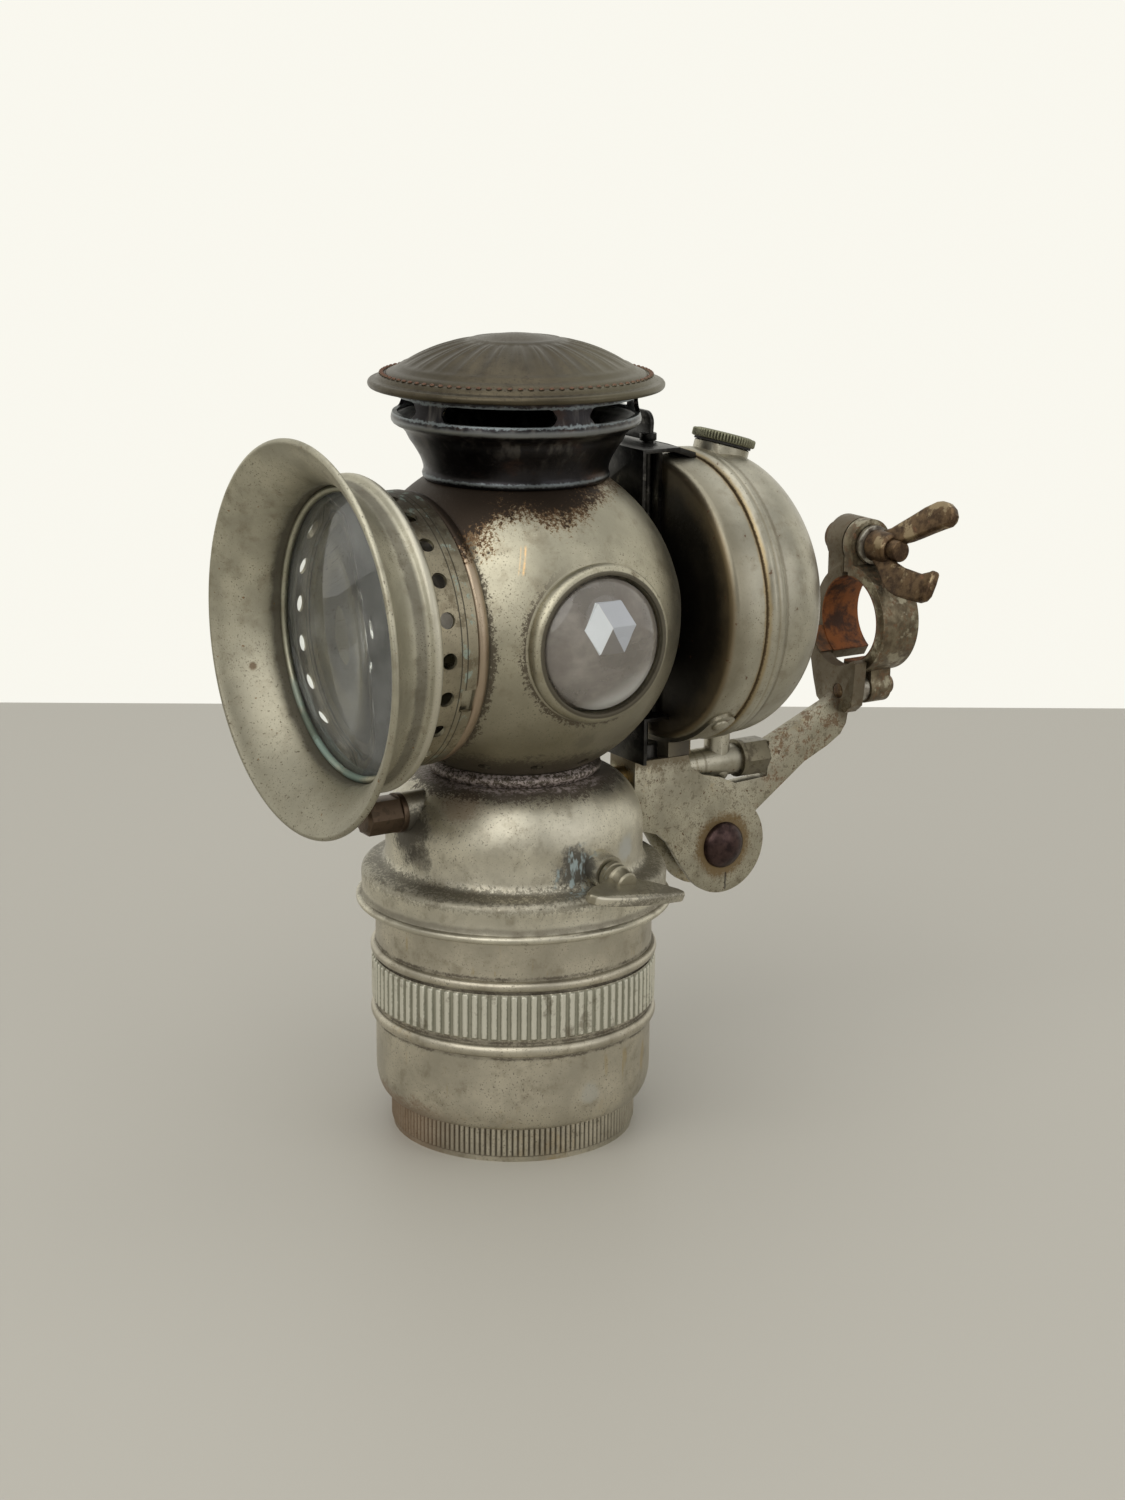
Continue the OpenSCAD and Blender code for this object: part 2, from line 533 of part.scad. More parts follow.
module outer_jaw() color("peru") difference() {
    union() {
        jaw_arc(jaw_y + jaw_w, jaw_w, clamp_r, jaw_r, -98, 96);
        translate([-2.5, jaw_y, jaw_z + clamp_r + 1]) cube([3, jaw_w, bolt_z - jaw_z - clamp_r - 1]);
        at_bolt(-2.5) cylinder(r = ear_r, h = 3);
        translate([hinge_x - 3.1, knuckle_y, hinge_z]) cube([6.2, knuckle_w, 6]);
        translate([hinge_x, knuckle_y, hinge_z]) rotate([-90, 0, 0]) cylinder(r = 3.6, h = knuckle_w);
    }
    at_bolt(-20) cylinder(r = bolt_r + 0.9, h = 40);
    translate([hinge_x, 80, hinge_z]) rotate([-90, 0, 0]) cylinder(r = hinge_r + fit, h = 20);
}

module clamp_bolt() color("sienna") union() {
    at_bolt(-11.9) cylinder(r = 3.6, h = 3.5);
    at_bolt(-9) cylinder(r = bolt_r, h = 20.2);
}

module clamp_washer() color("gray") at_bolt(0.8) tube(4.4, bolt_r + fit, 1.4);

module wing_nut() color("saddlebrown") difference() {
    union() {
        at_bolt(2.3) cylinder(r = 3.65, h = 6.4);
        translate([0, bolt_y, bolt_z]) rotate([-23, 0, 0]) translate([0, 1.1, 0]) rotate([90, 0, 0])
            linear_extrude(2.2) {
                polygon([[3.4, 1.4], [10.8, 1.7], [16.2, 4.2], [21.8, 7.1], [24.6, 9], [24.2, 11.4],
                    [21.4, 12.9], [17.7, 12.6], [11.7, 8.6], [6.2, 4.6], [3.6, 3.8]]);
                polygon([[3.4, -1.4], [8.5, -2], [14, -3.2], [20.8, -3.6], [24.4, -2], [25, -5],
                    [24.6, -8], [22.6, -9.8], [14.6, -9.8], [10, -8.2], [6.4, -5.2], [3.6, -3.9]]);
            }
    }
    at_bolt(-1) cylinder(r = bolt_r + fit, h = 12.6);
}

carbide_cup();
foot_ring();
cup_gasket();
carbide_basket();
generator_dome();
filter_plate();
gas_filter();
gas_plate();
gas_tube();
burner_fork();
burner_tips();
cross_tube();
drip_tube();
front_plug_boss();
front_plug();
tap_boss();
wing_screw();
body_collar();
body_shell();
front_ring();
rear_plate();
reflector();
right_jewel_rim();
left_jewel_rim();
right_jewel();
left_jewel();
front_drum();
bezel_hood();
front_glass();
glass_ring();
chimney();
chimney_cap();
support_strap();
tank_front();
tank_back();
tank_saddle();
saddle_rivets();
filler_neck();
filler_cap();
filler_washer();
water_tee();
rear_plug();
feed_pipe();
valve_body();
valve_spindle();
valve_lever();
bracket_channel();
pivot_rivet();
pivot_washers();
bracket_arm();
jaw_pin();
jaw_spacer();
outer_jaw();
clamp_bolt();
clamp_washer();
wing_nut();
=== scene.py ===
import json
import math
import bpy
from mathutils import Matrix, Vector


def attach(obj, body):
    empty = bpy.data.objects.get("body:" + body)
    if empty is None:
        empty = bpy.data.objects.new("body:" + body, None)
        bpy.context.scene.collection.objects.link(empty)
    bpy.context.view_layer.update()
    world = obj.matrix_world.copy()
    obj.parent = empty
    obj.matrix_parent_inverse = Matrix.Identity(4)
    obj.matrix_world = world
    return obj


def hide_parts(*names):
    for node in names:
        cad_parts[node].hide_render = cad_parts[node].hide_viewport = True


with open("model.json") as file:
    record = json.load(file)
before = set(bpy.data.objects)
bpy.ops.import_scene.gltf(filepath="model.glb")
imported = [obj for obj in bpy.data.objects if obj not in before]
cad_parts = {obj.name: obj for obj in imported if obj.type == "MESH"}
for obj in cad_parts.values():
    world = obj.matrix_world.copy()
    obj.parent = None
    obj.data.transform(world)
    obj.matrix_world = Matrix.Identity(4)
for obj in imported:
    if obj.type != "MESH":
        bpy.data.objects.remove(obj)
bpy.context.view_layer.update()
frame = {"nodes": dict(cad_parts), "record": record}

ops = bpy.ops
mm = 0.001
beamZ = 111              # height of the beam's axis over the table, in millimetres
clampZ = 100.6           # height of the clamp's bore
rivetAt = (51.2, 54.6)   # Y and Z of the big rivet in the bracket
boltAt = (0, 93.2, 117.3)


# Small tools for the mesh

def arcOf(cx, cy, rx, ry, first, last, count=12):
    angles = [math.radians(first + (last - first) * i / count) for i in range(count + 1)]
    return [(cx + rx * math.cos(a), cy + ry * math.sin(a)) for a in angles]


def beadOf(radius, height, width, proud, count=10):
    return arcOf(radius, height, proud, width / 2, -90, 90, count)


def pickNone():
    if bpy.context.object and bpy.context.object.mode == "EDIT":
        ops.object.mode_set(mode="OBJECT")
    ops.object.select_all(action="DESELECT")


def pickOnly(piece):
    pickNone()
    piece.select_set(True)
    bpy.context.view_layer.objects.active = piece


def openMesh(piece):
    pickOnly(piece)
    ops.object.mode_set(mode="EDIT")
    ops.mesh.select_all(action="SELECT")


def closeMesh():
    ops.object.mode_set(mode="OBJECT")


def mergeUp(threshold=2e-6):
    ops.mesh.select_all(action="SELECT")
    ops.mesh.remove_doubles(threshold=threshold)


def pushBy(x, y, z):
    ops.mesh.extrude_region_move(TRANSFORM_OT_translate={"value": (x, y, z)})


def pickOpenEdges():
    ops.mesh.select_all(action="DESELECT")
    ops.mesh.select_non_manifold()


def closeOutwards():
    ops.mesh.select_all(action="SELECT")
    ops.mesh.normals_make_consistent(inside=False)
    closeMesh()


def drawLine(name, points):
    # one vertex is pulled from point to point, given in millimetres
    points = [Vector(p) * mm for p in points]
    pickNone()
    ops.mesh.primitive_plane_add(size=mm)
    piece = bpy.context.object
    piece.name = piece.data.name = name
    ops.object.mode_set(mode="EDIT")
    ops.mesh.select_all(action="SELECT")
    ops.mesh.merge(type="CENTER")
    ops.transform.translate(value=points[0])
    for start, end in zip(points, points[1:]):
        pushBy(*(end - start))
    mergeUp()
    return piece


def turned(name, line, about="z", steps=160, ring=True):
    # a line of radius and height, spun about the cup's axis, the beam's axis or the jewels' axis
    axis = {"x": (1, 0, 0), "y": (0, 1, 0), "z": (0, 0, 1)}[about]
    centre = (0, 0, 0) if about == "z" else (0, 0, beamZ * mm)
    place = {"x": lambda r, h: (h, r, beamZ), "y": lambda r, h: (r, h, beamZ),
             "z": lambda r, h: (r, 0, h)}[about]
    points = [place(r, h) for r, h in line]
    piece = drawLine(name, points + points[:1] if ring else points)
    ops.mesh.select_all(action="SELECT")
    ops.mesh.spin(steps=steps, angle=math.tau, center=centre, axis=axis)
    mergeUp()
    closeOutwards()
    return piece


def plate(name, outline, thick, low):
    # a flat outline in X and Y, pushed up by its thickness
    piece = drawLine(name, [(x, y, low) for x, y in list(outline) + [outline[0]]])
    ops.mesh.select_all(action="SELECT")
    ops.mesh.edge_face_add()
    pushBy(0, 0, thick * mm)
    closeOutwards()
    return piece


def shapedGrid(name, across, along, place):
    # a grid whose vertices are laid where place(u, v) says, in millimetres
    pickNone()
    ops.mesh.primitive_grid_add(x_subdivisions=across, y_subdivisions=along, size=1)
    piece = bpy.context.object
    piece.name = piece.data.name = name
    for vertex in piece.data.vertices:
        vertex.co = Vector(place(vertex.co.x + 0.5, vertex.co.y + 0.5)) * mm
    return piece


def knurledRing(name, count, ridgeR, valleyR, boreR, low, high, share, fade, plain=0.0):
    # one flute, copied round, and its open ends joined by the bore
    pitch = math.tau / count

    def place(u, v):
        rows = [boreR, valleyR] + [None] * 8 + [valleyR, boreR]
        row = round(v * 11)
        angle = (u - 0.5) * pitch
        if rows[row] is not None:
            level = low if row < 2 else high
            radius = rows[row] if row in (0, 11) else valleyR
        else:
            step = (row - 2) / 7
            first, last = low + plain + 0.02, high - 0.02
            level = first + (last - first) * (0.5 - 0.5 * math.cos(math.pi * step))
            near = min(level - first, last - level)
            rise = math.sqrt(max(0, 1 - (1 - min(1, near / fade)) ** 2))
            side = abs(u - 0.5) * 2 / share
            radius = valleyR + (ridgeR - valleyR) * rise * math.sqrt(max(0, 1 - side * side))
        return radius * math.cos(angle), radius * math.sin(angle), level

    piece = shapedGrid(name, 8, 11, place)
    openMesh(piece)
    ops.mesh.spin(dupli=True, steps=count - 1, angle=pitch * (count - 1), center=(0, 0, 0), axis=(0, 0, 1))
    mergeUp(5e-6)
    pickOpenEdges()
    ops.mesh.bridge_edge_loops()
    closeOutwards()
    return piece


def applyTo(piece, kind, **values):
    pickOnly(piece)
    modifier = piece.modifiers.new(kind.lower(), kind)
    for key, value in values.items():
        setattr(modifier, key, value)
    ops.object.modifier_apply(modifier=modifier.name)


def soften(piece, width, segments, angle=38):
    applyTo(piece, "BEVEL", width=width * mm, segments=segments, limit_method="ANGLE",
            angle_limit=math.radians(angle))


def join(pieces):
    pickNone()
    for piece in pieces:
        piece.select_set(True)
    bpy.context.view_layer.objects.active = pieces[0]
    ops.object.join()
    return pieces[0]


def setAt(piece, matrix):
    # puts a piece that was made about its own Z axis where it belongs, and its place into its mesh
    pickOnly(piece)
    piece.matrix_world = matrix
    ops.object.transform_apply(location=True, rotation=True, scale=True)
    return piece


def frameAt(point, *turns):
    # turns are (degrees, axis), the first one is the outermost
    matrix = Matrix.Translation(Vector(point) * mm)
    for degrees, axis in turns:
        matrix = matrix @ Matrix.Rotation(math.radians(degrees), 4, axis)
    return matrix


def cutRod(radius, low, high, matrix, sides=40):
    pickNone()
    ops.mesh.primitive_cylinder_add(vertices=sides, radius=radius * mm, depth=(high - low) * mm,
                                    location=(0, 0, (high + low) / 2 * mm))
    return setAt(bpy.context.object, matrix @ Matrix.Translation((0, 0, (high + low) / 2 * mm)))


def cutOut(piece, cutters):
    cutter = join(cutters)
    applyTo(piece, "BOOLEAN", operation="DIFFERENCE", solver="EXACT", object=cutter)
    bpy.data.objects.remove(cutter)


def softenedCopy(node, name, width, segments):
    # a merged copy of a solid whose shape is right, with worn edges
    piece = bpy.data.objects.new(name, frame["nodes"][node].data.copy())
    bpy.context.scene.collection.objects.link(piece)
    piece.data.materials.clear()
    piece.data.name = name
    openMesh(piece)
    mergeUp(3e-6)
    ops.mesh.select_all(action="SELECT")
    ops.mesh.dissolve_limited(angle_limit=math.radians(0.8))
    closeMesh()
    if piece.data.has_custom_normals:
        ops.mesh.customdata_custom_splitnormals_clear()
    soften(piece, width, segments, 40)
    return piece


def finishPiece(piece, body, slot, *nodes, smooth=32):
    pickOnly(piece)
    piece.data.materials.clear()
    piece.data.materials.append(finishes[slot])
    ops.object.shade_smooth_by_angle(angle=math.radians(smooth))
    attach(piece, body)
    if nodes:
        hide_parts(*nodes)


def finishCopies(*rows):
    # softened copies of solids that need no other change
    for node, name, width, segments, body, slot in rows:
        finishPiece(softenedCopy(node, name, width, segments), body, slot, node)


# Small tools for the materials

class Value:
    # what a node gives out: sums and products of values become nodes too
    def __init__(self, socket):
        self.socket = socket

    def __add__(self, other):
        return calc("ADD", self, other)

    def __radd__(self, other):
        return calc("ADD", other, self)

    def __sub__(self, other):
        return calc("SUBTRACT", self, other)

    def __rsub__(self, other):
        return calc("SUBTRACT", other, self)

    def __mul__(self, other):
        return calc("MULTIPLY", self, other)

    def __abs__(self):
        return calc("ABSOLUTE", self)


def feed(socket, value):
    if isinstance(value, Value):
        socket.id_data.links.new(value.socket, socket)
    elif isinstance(value, (tuple, list)) and len(value) == 3 and socket.type == "RGBA":
        socket.default_value = (*value, 1)
    else:
        socket.default_value = value


def newNode(near, kind, **values):
    # a node in the same tree as near, which is a value or another node
    holder = near.socket if isinstance(near, Value) else near
    node = holder.id_data.nodes.new("ShaderNode" + kind)
    for key, value in values.items():
        feed(node.inputs[key], value)
    return node


def newFinish(name):
    finish = bpy.data.materials.new(name)
    finish.use_nodes = True
    tree = finish.node_tree
    tree.nodes.clear()
    shader = tree.nodes.new("ShaderNodeBsdfPrincipled")
    tree.links.new(shader.outputs[0], newNode(shader, "OutputMaterial").inputs[0])
    return finish, shader, Value(newNode(shader, "TexCoord").outputs["Object"])


def noiseOf(where, scale, detail, rough, stretch=None):
    if stretch:
        where = Value(newNode(where, "Mapping", Vector=where, Scale=stretch).outputs[0])
    noise = newNode(where, "TexNoise", Vector=where, Scale=scale, Detail=detail, Roughness=rough)
    return Value(noise.outputs["Fac"])


def calc(operation, first, second=0.0):
    node = newNode(first if isinstance(first, Value) else second, "Math")
    node.operation = operation
    feed(node.inputs[0], first)
    feed(node.inputs[1], second)
    return Value(node.outputs[0])


def most(first, second):
    return calc("MAXIMUM", first, second)


def vectorCalc(operation, first, second=(0, 0, 0)):
    node = newNode(first, "VectorMath")
    node.operation = operation
    feed(node.inputs[0], first)
    feed(node.inputs[1], second)
    return Value(node.outputs["Value"])


def spread(value, low, high, start=0.0, end=1.0):
    # start at low, end at high, and a smooth step between them
    node = newNode(value, "MapRange", Value=value)
    node.interpolation_type = "SMOOTHSTEP"
    for key, number in (("From Min", low), ("From Max", high), ("To Min", start), ("To Max", end)):
        feed(node.inputs[key], number)
    return Value(node.outputs[0])


def mixOf(share, first, second):
    node = newNode(share, "Mix")
    node.data_type = "RGBA"
    for index, value in ((0, share), (6, first), (7, second)):
        feed(node.inputs[index], value)
    return Value(node.outputs[2])


def crevices(where, reach, low, high):
    node = newNode(where, "AmbientOcclusion", Distance=reach * mm)
    node.samples = 6
    node.only_local = True
    return spread(Value(node.outputs["AO"]), high, low)


def stainAt(where, point, radius, rag):
    # 1 inside a ragged patch about a point, 0 outside it
    away = vectorCalc("DISTANCE", where, Vector(point) * mm)
    away += (rag - 0.5) * (radius * 2.4 * mm)
    return spread(away, radius * mm, radius * 0.45 * mm)


def relief(shader, height, strength, depth=0.12):
    bump = newNode(shader, "Bump", Strength=strength, Distance=depth * mm, Height=height)
    feed(shader.inputs["Normal"], Value(bump.outputs[0]))


def bandAt(value, level, half, edge, share=1.0):
    # 1 near a level, 0 from the edge on, all in millimetres
    return spread(abs(value - level * mm), edge * mm, half * mm, 0, share)


def axesOf(where):
    node = newNode(where, "SeparateXYZ")
    feed(node.inputs[0], where)
    return [Value(node.outputs[axis]) for axis in "XYZ"]


def shaken(value, *noises):
    # a coordinate in metres made ragged: each noise is followed by its amount in millimetres
    for noise, amount in zip(noises[::2], noises[1::2]):
        value += (noise - 0.5) * (amount * mm)
    return value


def reachOf(first, second, centre=(0, 0)):
    # distance from a line through centre, in the plane of two coordinates
    node = newNode(first, "CombineXYZ")
    feed(node.inputs[0], first - centre[0] * mm)
    feed(node.inputs[1], second - centre[1] * mm)
    return vectorCalc("LENGTH", Value(node.outputs[0]))


def rightward(x, y):
    # how far to the right a point lies, seen from the camera
    return x * 0.525 + y * 0.851


def noMasks(where, middle, fine):
    return []


def layered(look, where, rag, middle, fine, colour, dull):
    # stains about points, then the slot's own masks, each with its colour and how matt it is
    layers = [(stainAt(where, point, radius, rag) * strength, stainColour, matt)
              for point, radius, stainColour, strength, matt in look.get("stains", [])]
    for mask, layerColour, matt in layers + look.get("masks", noMasks)(where, middle, fine):
        colour = mixOf(mask, colour, layerColour)
        dull = most(dull, mask * matt)
    return colour, dull


def platedFinish(name, look):
    look = nickel | look
    finish, shader, where = newFinish(name)
    wide = noiseOf(where, look.get("patches", 70), 6, 0.62)
    middle = noiseOf(where, 260, 5, 0.65)
    fine = noiseOf(where, 1250, 4, 0.8)
    rag = middle * 0.6 + fine * 0.4
    speck = noiseOf(where, 2700, 2, 0.5)
    hole = noiseOf(where, 1000, 2, 0.5)
    plate = look["plate"]
    colour = mixOf(spread(wide, 0.35, 0.68), [c * 0.8 for c in plate], [min(1, c * 1.12) for c in plate])
    colour = mixOf(spread(middle, 0.48, 0.72, 0, 0.42), colour, look["dark"])
    bare = spread(noiseOf(where, look.get("patches", 70) * 0.8, 5, 0.7), 0.66 - look["bareShare"],
                  0.8 - look["bareShare"])
    colour = mixOf(bare * 0.55, colour, look["bare"])
    stained = spread(wide * 0.6 + middle * 0.4, 0.68 - look["darkShare"], 0.78 - look["darkShare"])
    colour = mixOf(stained * 0.6, colour, look["dark"])
    deep = crevices(where, look.get("reach", 1.6), 0.35, 0.92) * spread(middle, 0.25, 0.6, 0.55, 1)
    deep *= look.get("grime", 0.8)
    colour = mixOf(deep, colour, look["crevice"])
    pits = spread(speck, 0.63 - look["pitShare"], 0.69 - look["pitShare"])
    pits *= spread(wide, 0.38, 0.62, 0.1, 0.95)
    holes = spread(hole, 0.73, 0.76) * spread(middle, 0.45, 0.6)
    pits = most(pits, holes)
    colour = mixOf(pits * 0.7, colour, look["pit"])
    dull = most(deep * 0.8, pits * 0.6)
    colour, dull = layered(look, where, rag, middle, fine, colour, dull)
    feed(shader.inputs["Base Color"], colour)
    rough = look["rough"] + (fine - 0.5) * 0.16
    rough += spread(wide, 0.4, 0.7) * 0.06
    feed(shader.inputs["Roughness"], rough + dull * 0.3)
    feed(shader.inputs["Metallic"], 1.0 - dull * 0.75)
    height = middle * 0.9 + fine * 0.35
    relief(shader, height - pits * 0.6, look.get("relief", 0.35))
    return finish


def ironFinish(name, look):
    # brown steel: what is left of the plate, the dark skin under it, and rust
    finish, shader, where = newFinish(name)
    wide = noiseOf(where, look.get("patches", 130), 6, 0.65)
    middle = noiseOf(where, 420, 5, 0.65)
    fine = noiseOf(where, 1500, 3, 0.6)
    colour = mixOf(spread(middle, 0.35, 0.65), look["dark"], look["skin"])
    left = spread(wide, 0.62 - look["plateShare"], 0.7 - look["plateShare"])
    colour = mixOf(left * 0.85, colour, look["plate"])
    rust = spread(noiseOf(where, look.get("patches", 130) * 1.4, 7, 0.7), 0.7 - look["rustShare"],
                  0.8 - look["rustShare"])
    rustColour = mixOf(spread(fine, 0.3, 0.7), look["rust"], [c * 0.45 for c in look["rust"]])
    colour = mixOf(rust, colour, rustColour)
    deep = crevices(where, 1.4, 0.3, 0.9) * 0.7
    colour = mixOf(deep, colour, look["dark"])
    dull = most(rust, deep * 0.7)
    colour, dull = layered(look, where, middle, middle, fine, colour, dull)
    feed(shader.inputs["Base Color"], colour)
    rough = look["rough"] + dull * 0.35
    feed(shader.inputs["Roughness"], rough - left * 0.08)
    feed(shader.inputs["Metallic"], 0.9 - dull * 0.8)
    relief(shader, middle + fine * 0.5, look.get("relief", 0.5), 0.2)
    return finish


def glassFinish(name, look):
    # clear glass with a film of dirt, which lets less light through where it is thick
    finish, shader, where = newFinish(name)
    haze = noiseOf(where, 90, 5, 0.6)
    colour, through = look["tint"], spread(haze, 0.4, 0.7, *look["through"])
    # each mask adds a colour and lets less light through: on the jewel these are real clouds and haze, and
    # painted reflections on its middle
    for mask, hazeAndGlintColour, share in look.get("masks", noMasks)(where, haze, haze):
        colour = mixOf(mask, colour, hazeAndGlintColour)
        through *= 1.0 - mask * share
    feed(shader.inputs["Base Color"], colour)
    shader.inputs["IOR"].default_value = look["ior"]
    feed(shader.inputs["Transmission Weight"], through)
    feed(shader.inputs["Roughness"], spread(haze, 0.4, 0.75, look["clear"], look["hazy"]))
    relief(shader, noiseOf(where, 60, 2, 0.5), 0.15, 0.1)
    return finish


def plainFinish(name, look):
    # felt, rubber, ceramic and other quiet surfaces
    finish, shader, where = newFinish(name)
    middle = noiseOf(where, 300, 6, 0.65)
    fine = noiseOf(where, 1600, 3, 0.6)
    colour = mixOf(spread(middle, 0.35, 0.7), look["colour"], look["worn"])
    feed(shader.inputs["Base Color"], colour)
    feed(shader.inputs["Roughness"], spread(fine, 0.3, 0.7, look["rough"] - 0.06, look["rough"] + 0.1))
    relief(shader, fine, look.get("relief", 0.3))
    return finish


# Finishes, one for each slot of the record

nickel = {"plate": (0.48, 0.445, 0.35), "bare": (0.46, 0.34, 0.17), "dark": (0.20, 0.165, 0.11),
          "crevice": (0.06, 0.048, 0.03), "pit": (0.05, 0.036, 0.02), "bareShare": 0.05, "darkShare": 0.04,
          "pitShare": 0.02, "rough": 0.4}
verdigris, soot, umber = (0.30, 0.40, 0.35), (0.02, 0.014, 0.011), (0.17, 0.10, 0.045)


def ballMasks(where, middle, fine):
    x, y, z = axesOf(where)
    cloud = noiseOf(where, 130, 3, 0.6)
    # heat from the chimney: it reaches lowest beside the front ring and in one cluster of specks
    rise = z - y * 0.12
    rise += spread(y, -0.0145, -0.0205, 0, 0.0045)
    rise += stainAt(where, (24, -3.5, 135.5), 8, middle) * 0.0022
    rise = shaken(rise, cloud, 7, fine, 16)
    gold = spread(rise, 0.1361, 0.1367, 0, 0.5)
    rust = spread(rise, 0.1366, 0.1372, 0, 0.85)
    heat = spread(shaken(rise, middle, 4), 0.1372, 0.1390, 0, 0.92)
    onBall = spread(y, -0.0226, -0.0223)
    ring = spread(shaken(y, cloud, 3, fine, 6), -0.0212, -0.0218, 0, 0.8) * onBall
    away = reachOf(y, z, (0, beamZ))
    halo = spread(shaken(away, middle, 3, fine, 7), 0.0173, 0.0167)
    halo *= spread(y + z, 0.124, 0.100, 0.05, 0.8)
    halo *= spread(away, 0.0161, 0.0163)
    halo *= spread(abs(x), 0.024, 0.027)
    # painted shade: the ball darker towards the bottom
    low = spread(shaken(z, cloud, 10), 0.112, 0.088, 0, 0.75)
    foot = spread(shaken(z, middle, 8, fine, 8), 0.0875, 0.0845, 0, 0.8)
    copper = spread(reachOf(x, z, (0, beamZ)), 0.0269, 0.0273, 0, 0.55)
    copper *= spread(y, -0.0218, -0.0222)
    seat = spread(away, 0.0150, 0.0147, 0, 0.85) * spread(abs(x), 0.0325, 0.0332)
    # two thin strokes where the plate is rubbed through to the brass
    slope = y - z * 0.38
    rubbed = most(bandAt(slope, -62.7, 0.05, 0.3), bandAt(slope, -63.5, 0.02, 0.2, 0.5))
    rubbed *= bandAt(z, 128.0, 2.0, 3.0)
    rubbed *= spread(x, 0.010, 0.015)
    rubbed *= spread(fine, 0.36, 0.55, 0.2, 0.7)
    return [(low, (0.17, 0.15, 0.10), 0.0), (foot, (0.07, 0.055, 0.035), 0.4),
            (ring, (0.05, 0.034, 0.02), 0.5), (halo, (0.06, 0.042, 0.026), 0.5),
            (copper, (0.44, 0.31, 0.22), 0.0), (seat, (0.05, 0.04, 0.025), 0.7),
            (gold, (0.28, 0.19, 0.075), 0.1), (rust, (0.13, 0.066, 0.03), 0.3),
            (heat, (0.032, 0.024, 0.018), 0.15), (rubbed, (0.85, 0.55, 0.26), 0.0)]


def domeMasks(where, middle, fine):
    x, y, z = axesOf(where)
    away = reachOf(x, y)
    groove = bandAt(shaken(z, middle, 2.5, fine, 9), 59.0, 0.5, 1.2, 0.6)
    low = bandAt(shaken(z, middle, 1.5), 52.3, 0.2, 1.1, 0.45)
    skirt = spread(shaken(z, fine, 8), 0.0560, 0.0566, 0, 0.4) * spread(z, 0.0595, 0.0588)
    top = spread(z, 0.0745, 0.0765)
    neck = spread(shaken(away, middle, 7, fine, 12), 0.0222, 0.0212, 0, 0.8) * top
    solder = spread(shaken(away, middle, 5), 0.0205, 0.0192) * top
    solder *= spread(fine, 0.46, 0.56, 0, 0.85)
    solder *= spread(x - y, -0.004, 0.010)
    collar = spread(away, 0.0187, 0.0184, 0, 0.75) * spread(z, 0.0784, 0.0788)
    streak = noiseOf(where, 520, 3, 0.6, (1, 1, 0.35))
    crust = stainAt(where, (28, -1.5, 62.5), 6.2, middle) * spread(streak, 0.52, 0.6, 0, 0.9)
    # the wing screw's fan: a dull face and a bright worn rim
    onFan = spread(z, 0.0588, 0.0590) * spread(away, 0.0305, 0.0310)
    onFan = most(onFan, spread(away, 0.0339, 0.0341))
    out = x * 0.969 + y * 0.136 - z * 0.208
    rim = onFan * spread(shaken(out, fine, 1.5), 0.0264, 0.0268, 0, 0.8)
    face = onFan * spread(middle, 0.3, 0.6, 0.85, 0.6)
    return [(face, (0.25, 0.225, 0.155), 0.1), (rim, (0.70, 0.66, 0.55), 0.0),
            (groove, (0.08, 0.07, 0.05), 0.6), (skirt, (0.10, 0.085, 0.055), 0.5),
            (low, (0.07, 0.055, 0.035), 0.6), (neck, (0.065, 0.042, 0.028), 0.5),
            (collar, (0.075, 0.06, 0.045), 0.3), (solder, (0.50, 0.43, 0.41), 0.85),
            (crust, (0.36, 0.43, 0.43), 0.9)]


def chimneyMasks(where, middle, fine):
    z = axesOf(where)[2]
    streak = noiseOf(where, 420, 3, 0.5, (1, 1, 0.04))
    under = spread(z, 0.142, 0.151) * spread(streak, 0.48, 0.66, 0, 0.6)
    blue = spread(noiseOf(where, 60, 3, 0.5), 0.5, 0.7, 0, 0.7)
    brown = spread(noiseOf(where, 75, 4, 0.6, (1, 1, 1.4)), 0.52, 0.7, 0, 0.8)
    lip = bandAt(shaken(z, middle, 1.0), 151.9, 0.2, 0.9, 0.75)
    edge = shaken(z, fine, 2)
    rims = most(bandAt(edge, 153.3, 0.1, 0.4, 0.8), bandAt(edge, 156.9, 0.1, 0.4, 0.6))
    rims = most(rims, bandAt(shaken(z, fine, 1.5), 140.9, 0.1, 0.5, 0.5))
    return [(blue, (0.042, 0.048, 0.062), 0.1), (brown, (0.055, 0.03, 0.02), 0.2),
            (under, (0.13, 0.12, 0.11), 0.3), (lip, (0.24, 0.25, 0.25), 0.2),
            (rims, (0.22, 0.25, 0.26), 0.3)]


